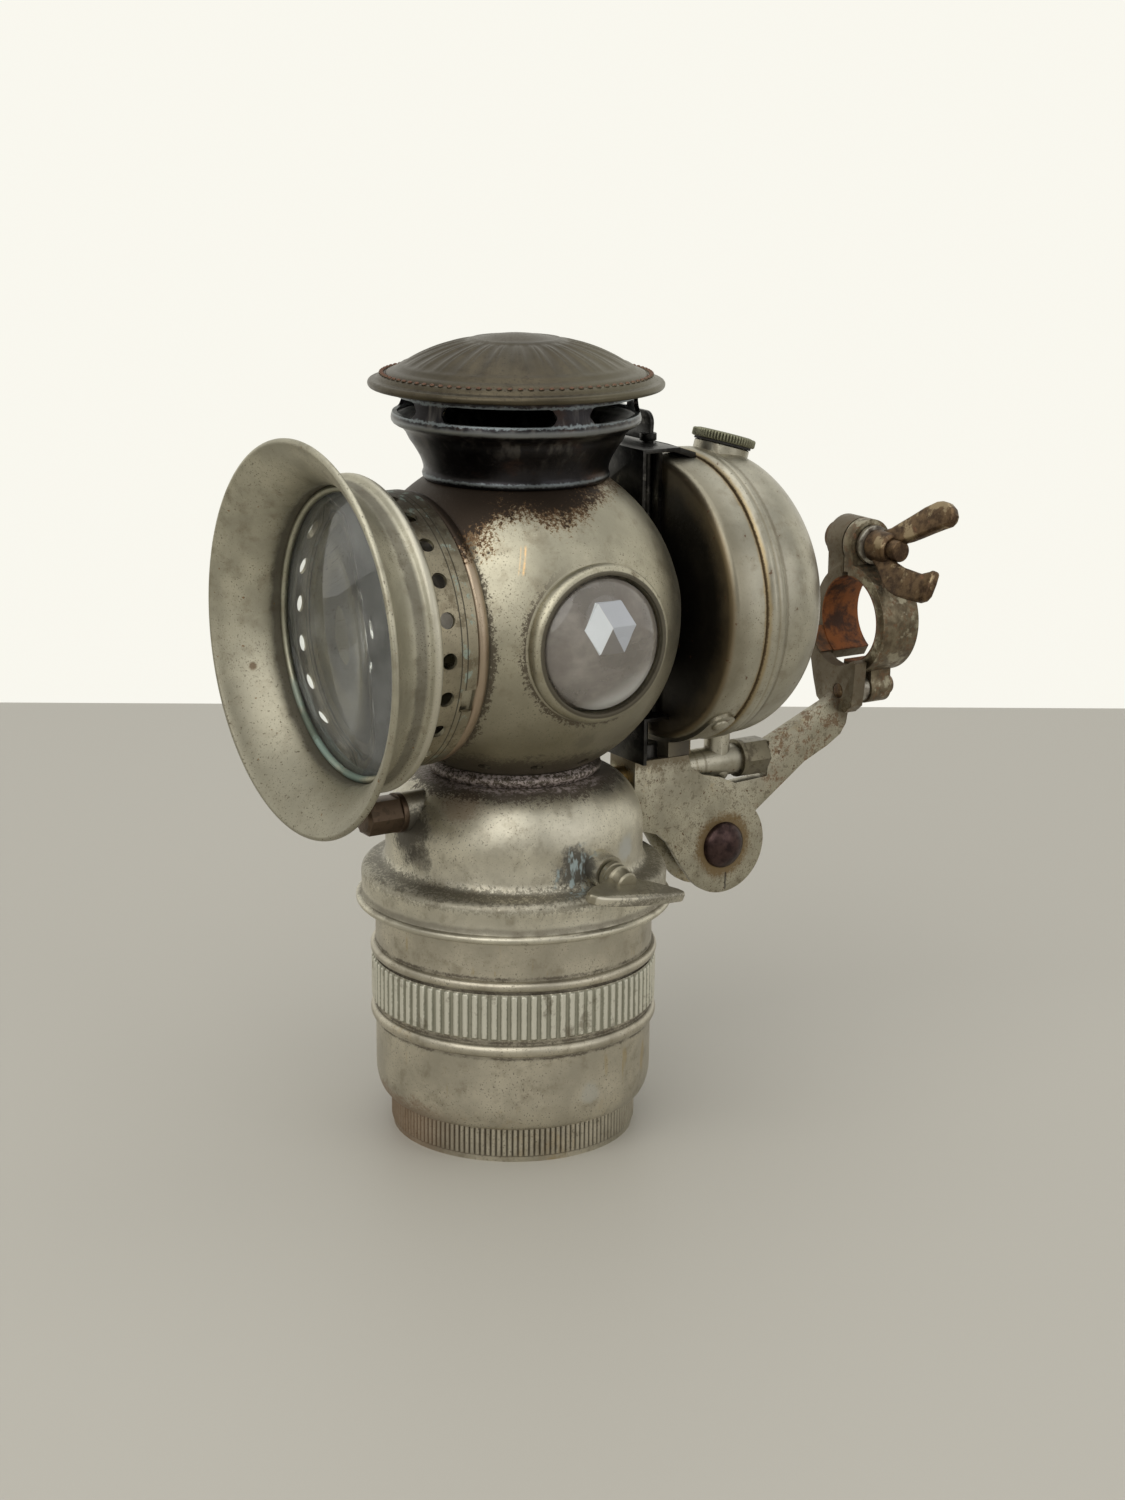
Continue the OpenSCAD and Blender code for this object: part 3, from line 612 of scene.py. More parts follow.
def cupMasks(where, middle, fine):
    x, y, z = axesOf(where)
    away = reachOf(x, y)
    side = rightward(x, y)
    parts = []
    for level in (24.1, 27.6, 38.5, 41.4, 49.3):
        line = bandAt(shaken(z, fine, 1.6), level, 0.05, 0.5, 0.75)
        parts.append((line * spread(middle, 0.36, 0.56, 0.25, 1), (0.06, 0.045, 0.028), 0.6))
    onGrip = spread(z, 0.0282, 0.0286) * spread(z, 0.0382, 0.0378)
    parts.append((onGrip * spread(away, 0.0296, 0.0298, 0, 0.85), (0.30, 0.30, 0.235), 0.35))
    crest = onGrip * spread(shaken(away, fine, 0.6), 0.02995, 0.03015, 0, 0.9)
    parts.append((crest, (0.70, 0.68, 0.58), 0.0))
    dirt = onGrip * spread(noiseOf(where, 180, 4, 0.7), 0.55, 0.68, 0, 0.6)
    parts.append((dirt, (0.16, 0.13, 0.085), 0.4))
    flute = spread(away, 0.0261, 0.0258) * spread(z, 0.0076, 0.0072)
    parts.append((flute * spread(z, 0.0009, 0.0013, 0, 0.7), (0.08, 0.065, 0.045), 0.5))
    foot = spread(shaken(z, middle, 8, fine, 8), 0.0125, 0.0095, 0, 0.6)
    foot *= spread(shaken(side, middle, 6), -0.008, -0.022)
    parts.append((foot, (0.20, 0.105, 0.045), 0.6))
    streak = spread(noiseOf(where, 260, 4, 0.6, (1, 1, 0.16)), 0.6, 0.68, 0, 0.5)
    walls = most(bandAt(z, 45.5, 3.0, 3.8), bandAt(z, 17.5, 3.5, 6.0))
    parts.append((streak * walls, (0.44, 0.33, 0.15), 0.1))
    return parts


def hoodMasks(where, middle, fine):
    x, y, z = axesOf(where)
    away = reachOf(x, z, (0, beamZ))
    low = spread(z, 0.112, 0.085) * spread(noiseOf(where, 1900, 2, 0.5), 0.64, 0.67, 0, 0.8)
    # painted shade: the hood darker towards the bottom
    tone = spread(shaken(z, middle, 12), 0.118, 0.078, 0, 0.6)
    seat = spread(shaken(y, middle, 2), -0.0418, -0.0405, 0, 0.7)
    seat *= spread(away, 0.0312, 0.0309)
    specks = spread(noiseOf(where, 700, 3, 0.5), 0.72, 0.74, 0, 0.85)
    bright = bandAt(y, -36.6, 0.5, 1.2, 0.6) * spread(away, 0.0314, 0.0319)
    return [(tone, (0.27, 0.25, 0.19), 0.0), (low, (0.11, 0.085, 0.05), 0.5),
            (seat, (0.05, 0.04, 0.026), 0.6), (specks, (0.20, 0.11, 0.04), 0.8),
            (bright, (0.62, 0.59, 0.49), 0.0)]


def drumMasks(where, middle, fine):
    y, z = axesOf(where)[1:]
    top = spread(shaken(z, middle, 14), 0.130, 0.138, 0, 0.75)
    grime = spread(noiseOf(where, 240, 5, 0.75), 0.5, 0.6, 0, 0.6)
    green = spread(noiseOf(where, 330, 5, 0.75), 0.56, 0.62, 0, 0.75)
    green *= most(top, bandAt(y, -27.6, 1.0, 2.2, 0.9))
    edge = spread(shaken(y, middle, 2), -0.0333, -0.0347, 0, 0.7)
    seams = most(bandAt(y, -27.9, 0.05, 0.22, 0.85), bandAt(y, -29.2, 0.05, 0.22, 0.85))
    return [(grime, (0.13, 0.105, 0.065), 0.3), (top, soot, 0.5), (edge, (0.06, 0.045, 0.028), 0.5),
            (green, (0.30, 0.38, 0.33), 0.9), (seams, (0.035, 0.03, 0.02), 0.7)]


def tankMasks(where, middle, fine):
    x, y, z = axesOf(where)
    away = reachOf(x, z, (0, beamZ))
    onTank = spread(away, 0.0285, 0.0295)
    # the flat front faces the dark ball: painted shade and a painted dark reflection, near black in the
    # middle and brown towards the corner
    face = spread(y, 0.0350, 0.0341, 0, 0.93) * spread(y, 0.0330, 0.0336)
    shade = mixOf(spread(shaken(away, middle, 4), 0.0235, 0.0292), (0.02, 0.016, 0.013),
                  (0.20, 0.155, 0.095))
    line = bandAt(shaken(y, fine, 0.6), 42.2, 0.12, 0.35, 0.9) * onTank
    glow = bandAt(shaken(y, middle, 0.9), 42.3, 0.2, 1.0, 0.7) * onTank
    valley = bandAt(y, 44.9, 0.1, 0.4, 0.35) * onTank
    under = bandAt(shaken(y, fine, 0.8), 47.2, 0.1, 0.5, 0.45) * onTank
    marks = spread(noiseOf(where, 520, 3, 0.55), 0.70, 0.73, 0, 0.85)
    # painted shade low on the tank, in the narrow gap over the bracket's cheeks
    gapShade = spread(z, 0.0815, 0.0800, 0, 0.9) * spread(y, 0.0430, 0.0425)
    gapShade *= spread(abs(x), 0.0062, 0.0056)
    # painted shade on the front corner of the band, darker towards the ball
    corner = spread(shaken(y, middle, 2), 0.0405, 0.0355, 0, 0.6) * onTank
    return [(gapShade, (0.05, 0.04, 0.03), 0.5), (corner, (0.20, 0.175, 0.12), 0.1), (face, shade, 0.1),
            (glow, (0.34, 0.245, 0.11), 0.1), (line, (0.07, 0.045, 0.02), 0.4),
            (valley, (0.22, 0.18, 0.11), 0.2), (under, (0.11, 0.085, 0.05), 0.4),
            (marks, (0.12, 0.06, 0.03), 0.7)]


def cheekMasks(where, middle, fine):
    x, y, z = axesOf(where)
    away = shaken(reachOf(y, z, rivetAt), middle, 3, fine, 5)
    ring = spread(away, 0.0082, 0.0060, 0, 0.85)
    crack = bandAt(shaken(y, middle, 1.2), 52.0, 0.1, 0.3) * bandAt(z, 46.2, 1.7, 2.2, 0.8)
    grit = spread(noiseOf(where, 620, 4, 0.75), 0.55, 0.61, 0, 0.6)
    dots = spread(noiseOf(where, 900, 2, 0.5), 0.68, 0.72, 0, 0.85)
    clamp = spread(shaken(y + z * 0.5, middle, 9), 0.120, 0.129, 0, 0.85)
    flecks = spread(noiseOf(where, 480, 5, 0.8), 0.53, 0.58, 0, 0.75)
    flecks *= spread(shaken(y, middle, 10), 0.060, 0.068)
    top = spread(shaken(z, middle, 6, fine, 8), 0.0735, 0.0755, 0, 0.7)
    top *= spread(y, 0.060, 0.056)
    bore = spread(reachOf(x, z, (0, clampZ)), 0.0100, 0.0097) * spread(y, 0.084, 0.086)
    rust = mixOf(spread(noiseOf(where, 210, 4, 0.7), 0.38, 0.6), (0.055, 0.022, 0.01), (0.26, 0.085, 0.02))
    return [(grit, (0.15, 0.12, 0.075), 0.4), (dots, (0.11, 0.055, 0.025), 0.7),
            (top, (0.13, 0.095, 0.05), 0.4), (flecks, (0.19, 0.105, 0.05), 0.6),
            (clamp, (0.115, 0.088, 0.056), 0.3), (ring, (0.17, 0.105, 0.035), 0.6), (crack, soot, 0.9),
            (bore, rust, 0.85)]


def jawMasks(where, middle, fine):
    x, z = axesOf(where)[::2]
    bore = spread(reachOf(x, z, (0, clampZ)), 0.0100, 0.0097)
    flecks = spread(noiseOf(where, 460, 5, 0.75), 0.54, 0.6, 0, 0.7)
    return [(flecks, (0.16, 0.085, 0.04), 0.6),
            (bore, mixOf(spread(middle, 0.35, 0.65), (0.22, 0.08, 0.02), (0.07, 0.03, 0.015)), 0.85)]


def plugMasks(where, middle, fine):
    # the hexagon plugs are paler than the rivet, the rear one more so
    y, z = axesOf(where)[1:]
    onPlug = spread(z, 0.0655, 0.0660, 0, 0.85)
    tone = mixOf(spread(y, 0, 0.01), (0.115, 0.08, 0.052), (0.19, 0.17, 0.115))
    grit = onPlug * spread(noiseOf(where, 500, 4, 0.7), 0.5, 0.6, 0, 0.6)
    return [(onPlug, tone, 0.1), (grit, (0.05, 0.035, 0.02), 0.4)]


def jewelMasks(where, middle, fine):
    # three rhombs over the middle, painted as reflections of the light: one of them the brightest and one
    # half dark, and a milky foot
    x, y, z = axesOf(where)
    across = (y + 0.5 * mm) * 0.866
    high = z - 115.1 * mm
    half = high * 0.5
    up = abs(across + half)
    down = abs(across - half)
    star = spread(most(abs(high), most(up, down)), 0.00515, 0.00505)
    star *= spread(abs(x), 0.0345, 0.0350, 0, 0.85)
    leftEdge = abs(high) * 0.5 + across
    left = spread(leftEdge, 0.0, -0.0001)
    foot = spread(half + abs(across), 0.0, -0.0001)
    star *= 1.0 - foot * 0.85
    # the rhombs' colours are painted reflections, and the line along the left rhomb's edge is a painted
    # highlight
    colour = mixOf(left, (0.50, 0.53, 0.58), (0.86, 0.91, 0.94))
    colour = mixOf(bandAt(leftEdge, 0.0, 0.04, 0.16, 0.8), colour, (0.95, 0.97, 0.97))
    cloud = spread(noiseOf(where, 140, 4, 0.6, (1, 0.6, 1.6)), 0.45, 0.7, 0, 0.3)
    low = z - y * 0.45
    milk = spread(shaken(low, middle, 5, fine, 3), 0.1035, 0.0985, 0, 0.75)
    dark = spread(noiseOf(where, 90, 3, 0.5, (1, 1.4, 0.8)), 0.5, 0.64, 0, 0.4)
    return [(cloud, (0.40, 0.36, 0.32), 0.6), (dark, (0.20, 0.17, 0.15), 0.4),
            (milk, (0.70, 0.70, 0.67), 0.5), (star, colour, 0.85)]


def capMasks(where, middle, fine):
    x, y, z = axesOf(where)
    away = reachOf(x, y)
    beads = spread(away, 0.0267, 0.0270) * spread(away, 0.0282, 0.0279)
    beads *= spread(z, 0.1610, 0.1614, 0, 0.7)
    # painted highlight: the cap is lighter on its right side, seen from the camera
    side = rightward(x, y)
    worn = spread(shaken(side, middle, 14), 0.006, 0.020, 0, 0.6)
    return [(worn, (0.16, 0.145, 0.10), 0.0), (beads, (0.15, 0.06, 0.035), 0.3)]


platedLooks = {
    "cup_plate": {
        "plate": (0.53, 0.49, 0.395), "reach": 1.4, "masks": cupMasks,
        "stains": [((29, 1, 14.5), 3, (0.42, 0.42, 0.38), 0.5, 0.7)]},
    "dome_plate": {
        "plate": (0.60, 0.565, 0.46), "bareShare": 0.03, "masks": domeMasks,
        "stains": [
            ((2, -27, 69), 8, (0.05, 0.042, 0.032), 0.85, 0.5),
            ((6, -26, 64), 4, (0.07, 0.06, 0.045), 0.6, 0.5), ((12, -20, 76.5), 6, umber, 0.6, 0.6),
            ((27, -2, 63.5), 5.6, (0.05, 0.045, 0.038), 0.85, 0.6),
            ((24, 12, 65), 3.5, (0.45, 0.47, 0.47), 0.5, 0.9),
            ((23.5, 4.5, 69), 1.8, (0.12, 0.10, 0.06), 0.7, 0.6)]},
    "ball_plate": {
        "plate": (0.46, 0.43, 0.33), "darkShare": 0.05, "masks": ballMasks,
        "stains": [
            ((21.5, -19.5, 129.4), 0.5, soot, 0.9, 0.9),
            ((26.9, 0, 89.8), 3, (0.06, 0.05, 0.03), 0.7, 0.6)]},
    "hood_plate": {
        "plate": (0.47, 0.445, 0.35), "rough": 0.46, "bareShare": 0.0, "darkShare": 0.0,
        "masks": hoodMasks, "stains": [((-30.3, -45.5, 99.3), 1.2, (0.17, 0.09, 0.035), 0.8, 0.9)]},
    "drum_plate": {"plate": (0.32, 0.285, 0.205), "darkShare": 0.12, "masks": drumMasks},
    "tank_plate": {
        "plate": (0.44, 0.415, 0.335), "bareShare": 0.0, "darkShare": 0.0, "pitShare": 0.0,
        "rough": 0.36, "masks": tankMasks},
    "filler_plate": {"plate": (0.25, 0.25, 0.17), "dark": (0.10, 0.08, 0.045), "darkShare": 0.14},
    "lens_wire": {
        "plate": (0.40, 0.39, 0.30), "darkShare": 0.12, "relief": 0.8,
        "stains": [
            ((-16, -38.6, 86), 12, (0.10, 0.13, 0.10), 0.9, 0.8),
            ((-10, -38.6, 84), 8, verdigris, 0.6, 0.9),
            ((2, -38.6, 82), 7, (0.12, 0.18, 0.15), 0.85, 0.9),
            ((-24, -38.6, 93), 5, (0.22, 0.28, 0.24), 0.6, 0.9)]},
    "bracket_plate": {
        "plate": (0.43, 0.40, 0.31), "pitShare": 0.04, "darkShare": 0.08, "patches": 120,
        "masks": cheekMasks},
    "chimney_black": {
        "plate": (0.032, 0.03, 0.032), "bare": (0.05, 0.03, 0.02), "dark": (0.012, 0.01, 0.009),
        "crevice": (0.01, 0.008, 0.006), "pit": (0.01, 0.008, 0.006), "rough": 0.3,
        "masks": chimneyMasks},
    "cap_bronze": {
        "plate": (0.088, 0.074, 0.05), "bare": (0.12, 0.085, 0.05), "dark": (0.036, 0.028, 0.02),
        "crevice": (0.018, 0.012, 0.008), "pit": (0.02, 0.014, 0.01), "rough": 0.38, "reach": 1.0,
        "grime": 0.9, "masks": capMasks},
    "inner_brass": {
        "plate": (0.42, 0.30, 0.13), "bare": (0.50, 0.36, 0.16), "dark": (0.14, 0.085, 0.04)},
    "silver_mirror": {"plate": (0.70, 0.69, 0.65), "bareShare": 0.0, "darkShare": 0.0, "rough": 0.3},
    "basket_tin": {"plate": (0.42, 0.42, 0.40), "bareShare": 0.0},
}
ironLooks = {
    "jaw_steel": {
        "dark": (0.11, 0.085, 0.055), "skin": (0.21, 0.175, 0.115), "plate": (0.38, 0.345, 0.25),
        "rust": (0.19, 0.095, 0.045), "plateShare": 0.1, "rustShare": 0.1, "rough": 0.42, "patches": 190,
        "masks": jawMasks},
    "dark_steel": {
        "dark": (0.030, 0.018, 0.018), "skin": (0.075, 0.046, 0.042), "plate": (0.20, 0.15, 0.11),
        "rust": (0.13, 0.055, 0.03), "plateShare": -0.08, "rustShare": 0.0, "rough": 0.34,
        "relief": 0.25, "masks": plugMasks},
    "rusty_steel": {
        "dark": (0.065, 0.04, 0.024), "skin": (0.17, 0.11, 0.06), "plate": (0.36, 0.28, 0.17),
        "rust": (0.20, 0.10, 0.045), "plateShare": 0.07, "rustShare": 0.12, "rough": 0.45,
        "patches": 200},
    "plain_steel": {
        "dark": (0.10, 0.085, 0.07), "skin": (0.28, 0.25, 0.21), "plate": (0.42, 0.40, 0.34),
        "rust": (0.22, 0.11, 0.05), "plateShare": 0.16, "rustShare": 0.04, "rough": 0.38},
    "strap_steel": {
        "dark": (0.018, 0.017, 0.016), "skin": (0.045, 0.043, 0.04), "plate": (0.13, 0.125, 0.115),
        "rust": (0.09, 0.05, 0.03), "plateShare": 0.04, "rustShare": 0.03, "rough": 0.34, "relief": 0.3},
}
glassLooks = {
    "lens_glass": {
        "tint": (0.93, 0.95, 0.92), "ior": 1.45, "clear": 0.0, "hazy": 0.05, "through": (0.97, 0.90)},
    "jewel_glass": {
        "tint": (0.43, 0.395, 0.35), "ior": 1.5, "clear": 0.03, "hazy": 0.2, "through": (0.68, 0.45),
        "masks": jewelMasks},
}
plainLooks = {
    "gasket": {"colour": (0.012, 0.011, 0.01), "worn": (0.03, 0.027, 0.024), "rough": 0.7},
    "felt": {"colour": (0.55, 0.49, 0.38), "worn": (0.42, 0.36, 0.27), "rough": 0.9, "relief": 0.8},
    "steatite": {"colour": (0.72, 0.68, 0.58), "worn": (0.55, 0.49, 0.40), "rough": 0.6},
}
finishes = {}
for makeFinish, looks in ((platedFinish, platedLooks), (ironFinish, ironLooks), (glassFinish, glassLooks),
                          (plainFinish, plainLooks)):
    for name, look in looks.items():
        finishes[name] = makeFinish(name, look)
slotOf = {part["node"]: part["material_slot"] for part in frame["record"]["subparts"]}
for node, solid in frame["nodes"].items():
    for holder in solid.material_slots:
        holder.material = finishes[slotOf[node]]
print("finishes done")


# Carbide cup

cup = {"wallR": 29.4, "topZ": 49.6, "neckR": 28.6, "neckTopZ": 56.2, "footZ": 7.6, "lowBead": (25.8, 2.6),
       "highBead": (39.8, 2.2), "beadProud": 1.1, "gripCount": 92, "grip": (28.25, 38.15), "footCount": 142,
       "footR": 26.2}


def makeCup():
    wallR, topZ, neckR, footZ, footR = (cup[key] for key in ("wallR", "topZ", "neckR", "footZ", "footR"))
    line = [(0, footZ)] + arcOf(wallR - 2.8, 14, 2.8, 14 - footZ, -90, 0, 14)
    for height, width in (cup["lowBead"], cup["highBead"]):
        line += [(wallR, height - width / 2 - 0.3)] + beadOf(wallR, height, width, cup["beadProud"])
        line += [(wallR, height + width / 2 + 0.3)]
    line += [(wallR, topZ), (neckR, topZ), (neckR, cup["neckTopZ"]), (neckR - 1, cup["neckTopZ"]),
             (neckR - 1, topZ - 1), (wallR - 1, topZ - 2)]
    line += arcOf(wallR - 3.4, 14, 2.4, 14 - footZ - 1.2, 0, -90, 10) + [(0, footZ + 1.2)]
    shell = turned("cupShell", line, steps=180, ring=False)
    grip = knurledRing("cupGrip", cup["gripCount"], wallR + 0.9, wallR + 0.35, wallR - 0.3, *cup["grip"],
                       share=0.66, fade=0.7)
    finishPiece(join([shell, grip]), "cup", "cup_plate", "carbide_cup")
    foot = knurledRing("cupFoot", cup["footCount"], footR, footR - 0.42, footR - 1.6, 0, footZ,
                       plain=1.1, share=0.8, fade=0.5)
    finishPiece(foot, "cup", "cup_plate", "foot_ring")


makeCup()
print("carbide cup done")


# Generator head

head = {"flangeR": 33.5, "domeR": 27.2, "shoulderZ": 66, "topZ": 78.3, "collarR": 17, "tap": (27, 3.8, 63),
        "tapTurn": 8, "tapDip": 12, "plugZ": 72.5, "frontBoreR": 1.95, "rearBoreR": 2.35, "tapBoreR": 1.85}
tapFrame = frameAt(head["tap"], (head["tapTurn"], "Z"), (90 + head["tapDip"], "Y"))


def makeHead():
    r, z, c, t = head["domeR"], head["shoulderZ"], head["collarR"], head["topZ"]
    line = [(31.3, 49.9)] + beadOf(head["flangeR"] - 1, 50.8, 1.8, 1)
    line += [(32.2, 52.6), (32.3, 55.4), (32.3, 56.6), (32.1, 57.3), (31.7, 57.8),
            (31.2, 58.15), (30.6, 58.4), (28.9, 58.75), (28.2, 59.0), (27.75, 59.5), (27.45, 60.2), (r, 61)]
    line += arcOf(c, z, r - c, t - z, 0, 90, 22) + [(13.5, t), (13.5, t - 1)]
    line += arcOf(c, z, r - c - 1, t - z - 1, 90, 0, 12) + [(r - 1, 59.5), (28.9, 57.4), (28.9, 51),
            (31.3, 51)]
    dome = turned("domeShell", line, steps=192)
    along = frameAt((0, 0, head["plugZ"]), (-90, "X"))
    cutOut(dome, [cutRod(head["rearBoreR"], 10, 40, along), cutRod(head["frontBoreR"], -40, -10, along),
                  cutRod(head["tapBoreR"], -6, 6, tapFrame)])
    finishPiece(dome, "head", "dome_plate", "generator_dome")
    collar = turned("neckCollar",
                    [(15.7, 78.3), (17, 78.3), (17.5, 78.5), (17.9, 79), (18.15, 79.4), (18.2, 79.7),
                     (18.1, 80.1), (17.8, 80.4), (17.3, 80.7), (17, 81), (15.7, 81)], steps=128)
    finishPiece(collar, "head", "dome_plate", "body_collar")
    finishCopies(("front_plug_boss", "plugBoss", 0.35, 3, "head", "dome_plate"),
                 ("tap_boss", "tapBoss", 0.35, 3, "head", "dome_plate"),
                 ("front_plug", "frontPlug", 0.3, 2, "head", "dark_steel"),
                 ("rear_plug", "rearPlug", 0.3, 2, "head", "dark_steel"))


tapWing = {"turn": -10, "tilt": 5, "thick": 2.0,
           "outline": [(3.0, 5.6), (5.0, 6.8), (8.0, 8.2), (10.6, 9.8), (12.6, 11.2), (13.4, 12.4),
                       (12.6, 13.6), (8.0, 14.05), (3.0, 14.4), (-1.0, 14.45), (-5.0, 14.4), (-8.6, 14.1),
                       (-11.6, 13.6), (-13.4, 12.2), (-13.0, 10.8), (-10.6, 9.2), (-8.4, 8.3), (-6.0, 7.4),
                       (-3.0, 5.6)]}


def makeWingScrew():
    hub = turned("wingScrew",
                 [(0, -2), (1.8, -2), (1.8, 3.3), (2.6, 3.3), (3.0, 3.6), (3.0, 4.6), (2.7, 4.8), (2.7, 5.1),
                  (2.95, 5.3), (2.95, 6.0), (2.7, 6.3), (2.6, 6.5), (2.6, 8.6), (2.3, 9.05), (1.7, 9.2),
                  (0, 9.2)], steps=48, ring=False)
    fan = plate("fan", tapWing["outline"], tapWing["thick"], -tapWing["thick"] / 2)
    soften(fan, 0.45, 3)
    upright = Matrix(((0, 0, 1, 0), (1, 0, 0, 0), (0, 1, 0, 0), (0, 0, 0, 1)))
    stand = frameAt((0, 0, 0), (tapWing["turn"], "Z"), (tapWing["tilt"], "Y")) @ upright
    screw = join([hub, setAt(fan, stand)])
    finishPiece(setAt(screw, tapFrame), "wing_tap", "dome_plate", "wing_screw")


makeHead()
makeWingScrew()
print("generator head done")


# Ball, jewels and front

ball = {"radius": 34.3, "wall": 1.0, "frontY": -23.4, "backY": 30.4, "jewelHoleR": 14.6, "flueR": 18.32,
        "collarBoreR": 16.63, "ventR": 1.3, "backVentR": 1.9}
jewel = {"domeR": 13.85, "starR": 5.8, "starTurn": -0.8, "starLift": 6.5}
front = {"holes": 22, "holeR": 1.65, "holeY": -32, "firstHole": 1.5, "notchTurn": 20, "wireR": 0.75,
         "wireRingR": 29.3, "wireArc": 350, "wireGap": 40}


def makeBall():
    def side(radius, first, last, count):
        a0, a1 = math.degrees(math.asin(first / radius)), math.degrees(math.asin(last / radius))
        return arcOf(0, 0, radius, radius, a0, a1, count)
    outer, inner = ball["radius"], ball["radius"] - ball["wall"]
    line = side(outer, ball["frontY"], ball["backY"], 56) + side(inner, ball["backY"], ball["frontY"], 40)
    shell = turned("ballShell", line, "y", steps=192)
    upright, across, along = frameAt((0, 0, 0)), frameAt((0, 0, beamZ), (90, "Y")), frameAt((0, 0, beamZ),
            (-90, "X"))
    cutters = [cutRod(ball["flueR"], 120, 160, upright, 96),
               cutRod(ball["collarBoreR"], 60, 100, upright, 96),
               cutRod(ball["jewelHoleR"], -60, 60, across, 128)]
    # a ring of vents under the ball and another round its back plate
    cutters += [cutRod(ball["ventR"], 30, 38, frameAt((0, 0, beamZ), (a, "Z"), (143, "Y")), 20)
                for a in range(11, 342, 30)]
    cutters += [cutRod(ball["backVentR"], 30, 38, along @ frameAt((0, 0, 0), (a, "Z"), (32.6, "Y")), 24)
                for a in range(15, 346, 30)]
    cutOut(shell, cutters)
    finishPiece(shell, "head", "ball_plate", "body_shell")
    ringLine = [(25.2, -28), (26.6, -28), (26.6, -25.4), (27.1, -25.15), (27.45, -24.9), (27.68, -24.5),
                (27.7, -24), (27.6, -23.4), (27.3, -22.9), (26.9, -22.45), (26.0, -22.4)]
    finishPiece(turned("frontRing", ringLine, "y", steps=160), "head", "ball_plate", "front_ring")
    finishPiece(turned("ballBack",
                       [(0, 30.4), (15.2, 30.4), (15.6, 30.6), (15.6, 31.0), (15.3, 31.2), (13.8, 31.2),
                        (13.2, 31.0), (12.6, 31.2), (0, 31.2)], "y", steps=96, ring=False), "head",
                "ball_plate", "rear_plate")
    dish = [(r, 27.5 - r * r / 76) for r in range(0, 24)] + [(23.9, 19.9)] + [(r, 26.7 - r * r / 76)
            for r in range(23, -1, -1)]
    finishPiece(turned("reflectorDish", dish, "y", steps=128, ring=False), "head", "silver_mirror",
                "reflector")


def makeJewel(side, name):
    rimLine = [(13.9, 28.8), (14.5, 28.8), (14.5, 31.2), (15.2, 30.95), (15.95, 30.75), (16.1, 31.2),
               (16.1, 31.8), (15.9, 32.5), (15.55, 33.1), (15.0, 33.5), (14.4, 33.7), (14.0, 33.6),
               (13.9, 33.2)]
    rim = turned(name + "JewelRim", [(r, side * x) for r, x in rimLine], "x", steps=128)
    finishPiece(rim, "head", "ball_plate", name + "_jewel_rim")
    # the glass: a smooth dome, and a low star of three rhombs on its middle
    domeR = jewel["domeR"]
    dome = [(min(domeR, r * 1.04), h) for r, h in arcOf(0, 29.9, domeR, 7.3, 24, 86, 22)]
    line = [(0, 29.8), (13.7, 29.8), (domeR, 30)] + dome + [(0, 37.2)]
    glass = turned(name + "JewelGlass", [(r, side * h) for r, h in line], "x", steps=96, ring=False)
    pickNone()
    ops.mesh.primitive_circle_add(vertices=6, radius=jewel["starR"] * mm, fill_type="NGON",
            location=(0, 0, 35.8 * mm), rotation=(0, 0, math.radians(30)))
    star = bpy.context.object
    star.name = star.data.name = name + "JewelStar"
    ops.object.transform_apply(location=True, rotation=True)
    openMesh(star)
    pushBy(0, 0, 1.25 * mm)
    pushBy(0, 0, 0.5 * mm)
    ops.mesh.merge(type="CENTER")
    closeOutwards()
    # every second corner is lower, so each pair of sides makes one rhomb
    for vertex in star.data.vertices:
        turn = round(math.degrees(math.atan2(vertex.co.y, vertex.co.x)) / 60) % 2
        if vertex.co.z > 36.9 * mm and vertex.co.xy.length > mm and turn == 1:
            vertex.co.z -= 0.5 * mm
    # it sits over the middle, a little to the front and turned up
    setAt(star, frameAt((0, 0, beamZ), (jewel["starTurn"] * side, "Z"),
                        ((90 - jewel["starLift"]) * side, "Y"), (0 if side > 0 else 180, "Z"), (90, "Z")))
    finishPiece(join([glass, star]), "head", "jewel_glass", name + "_jewel", smooth=12)


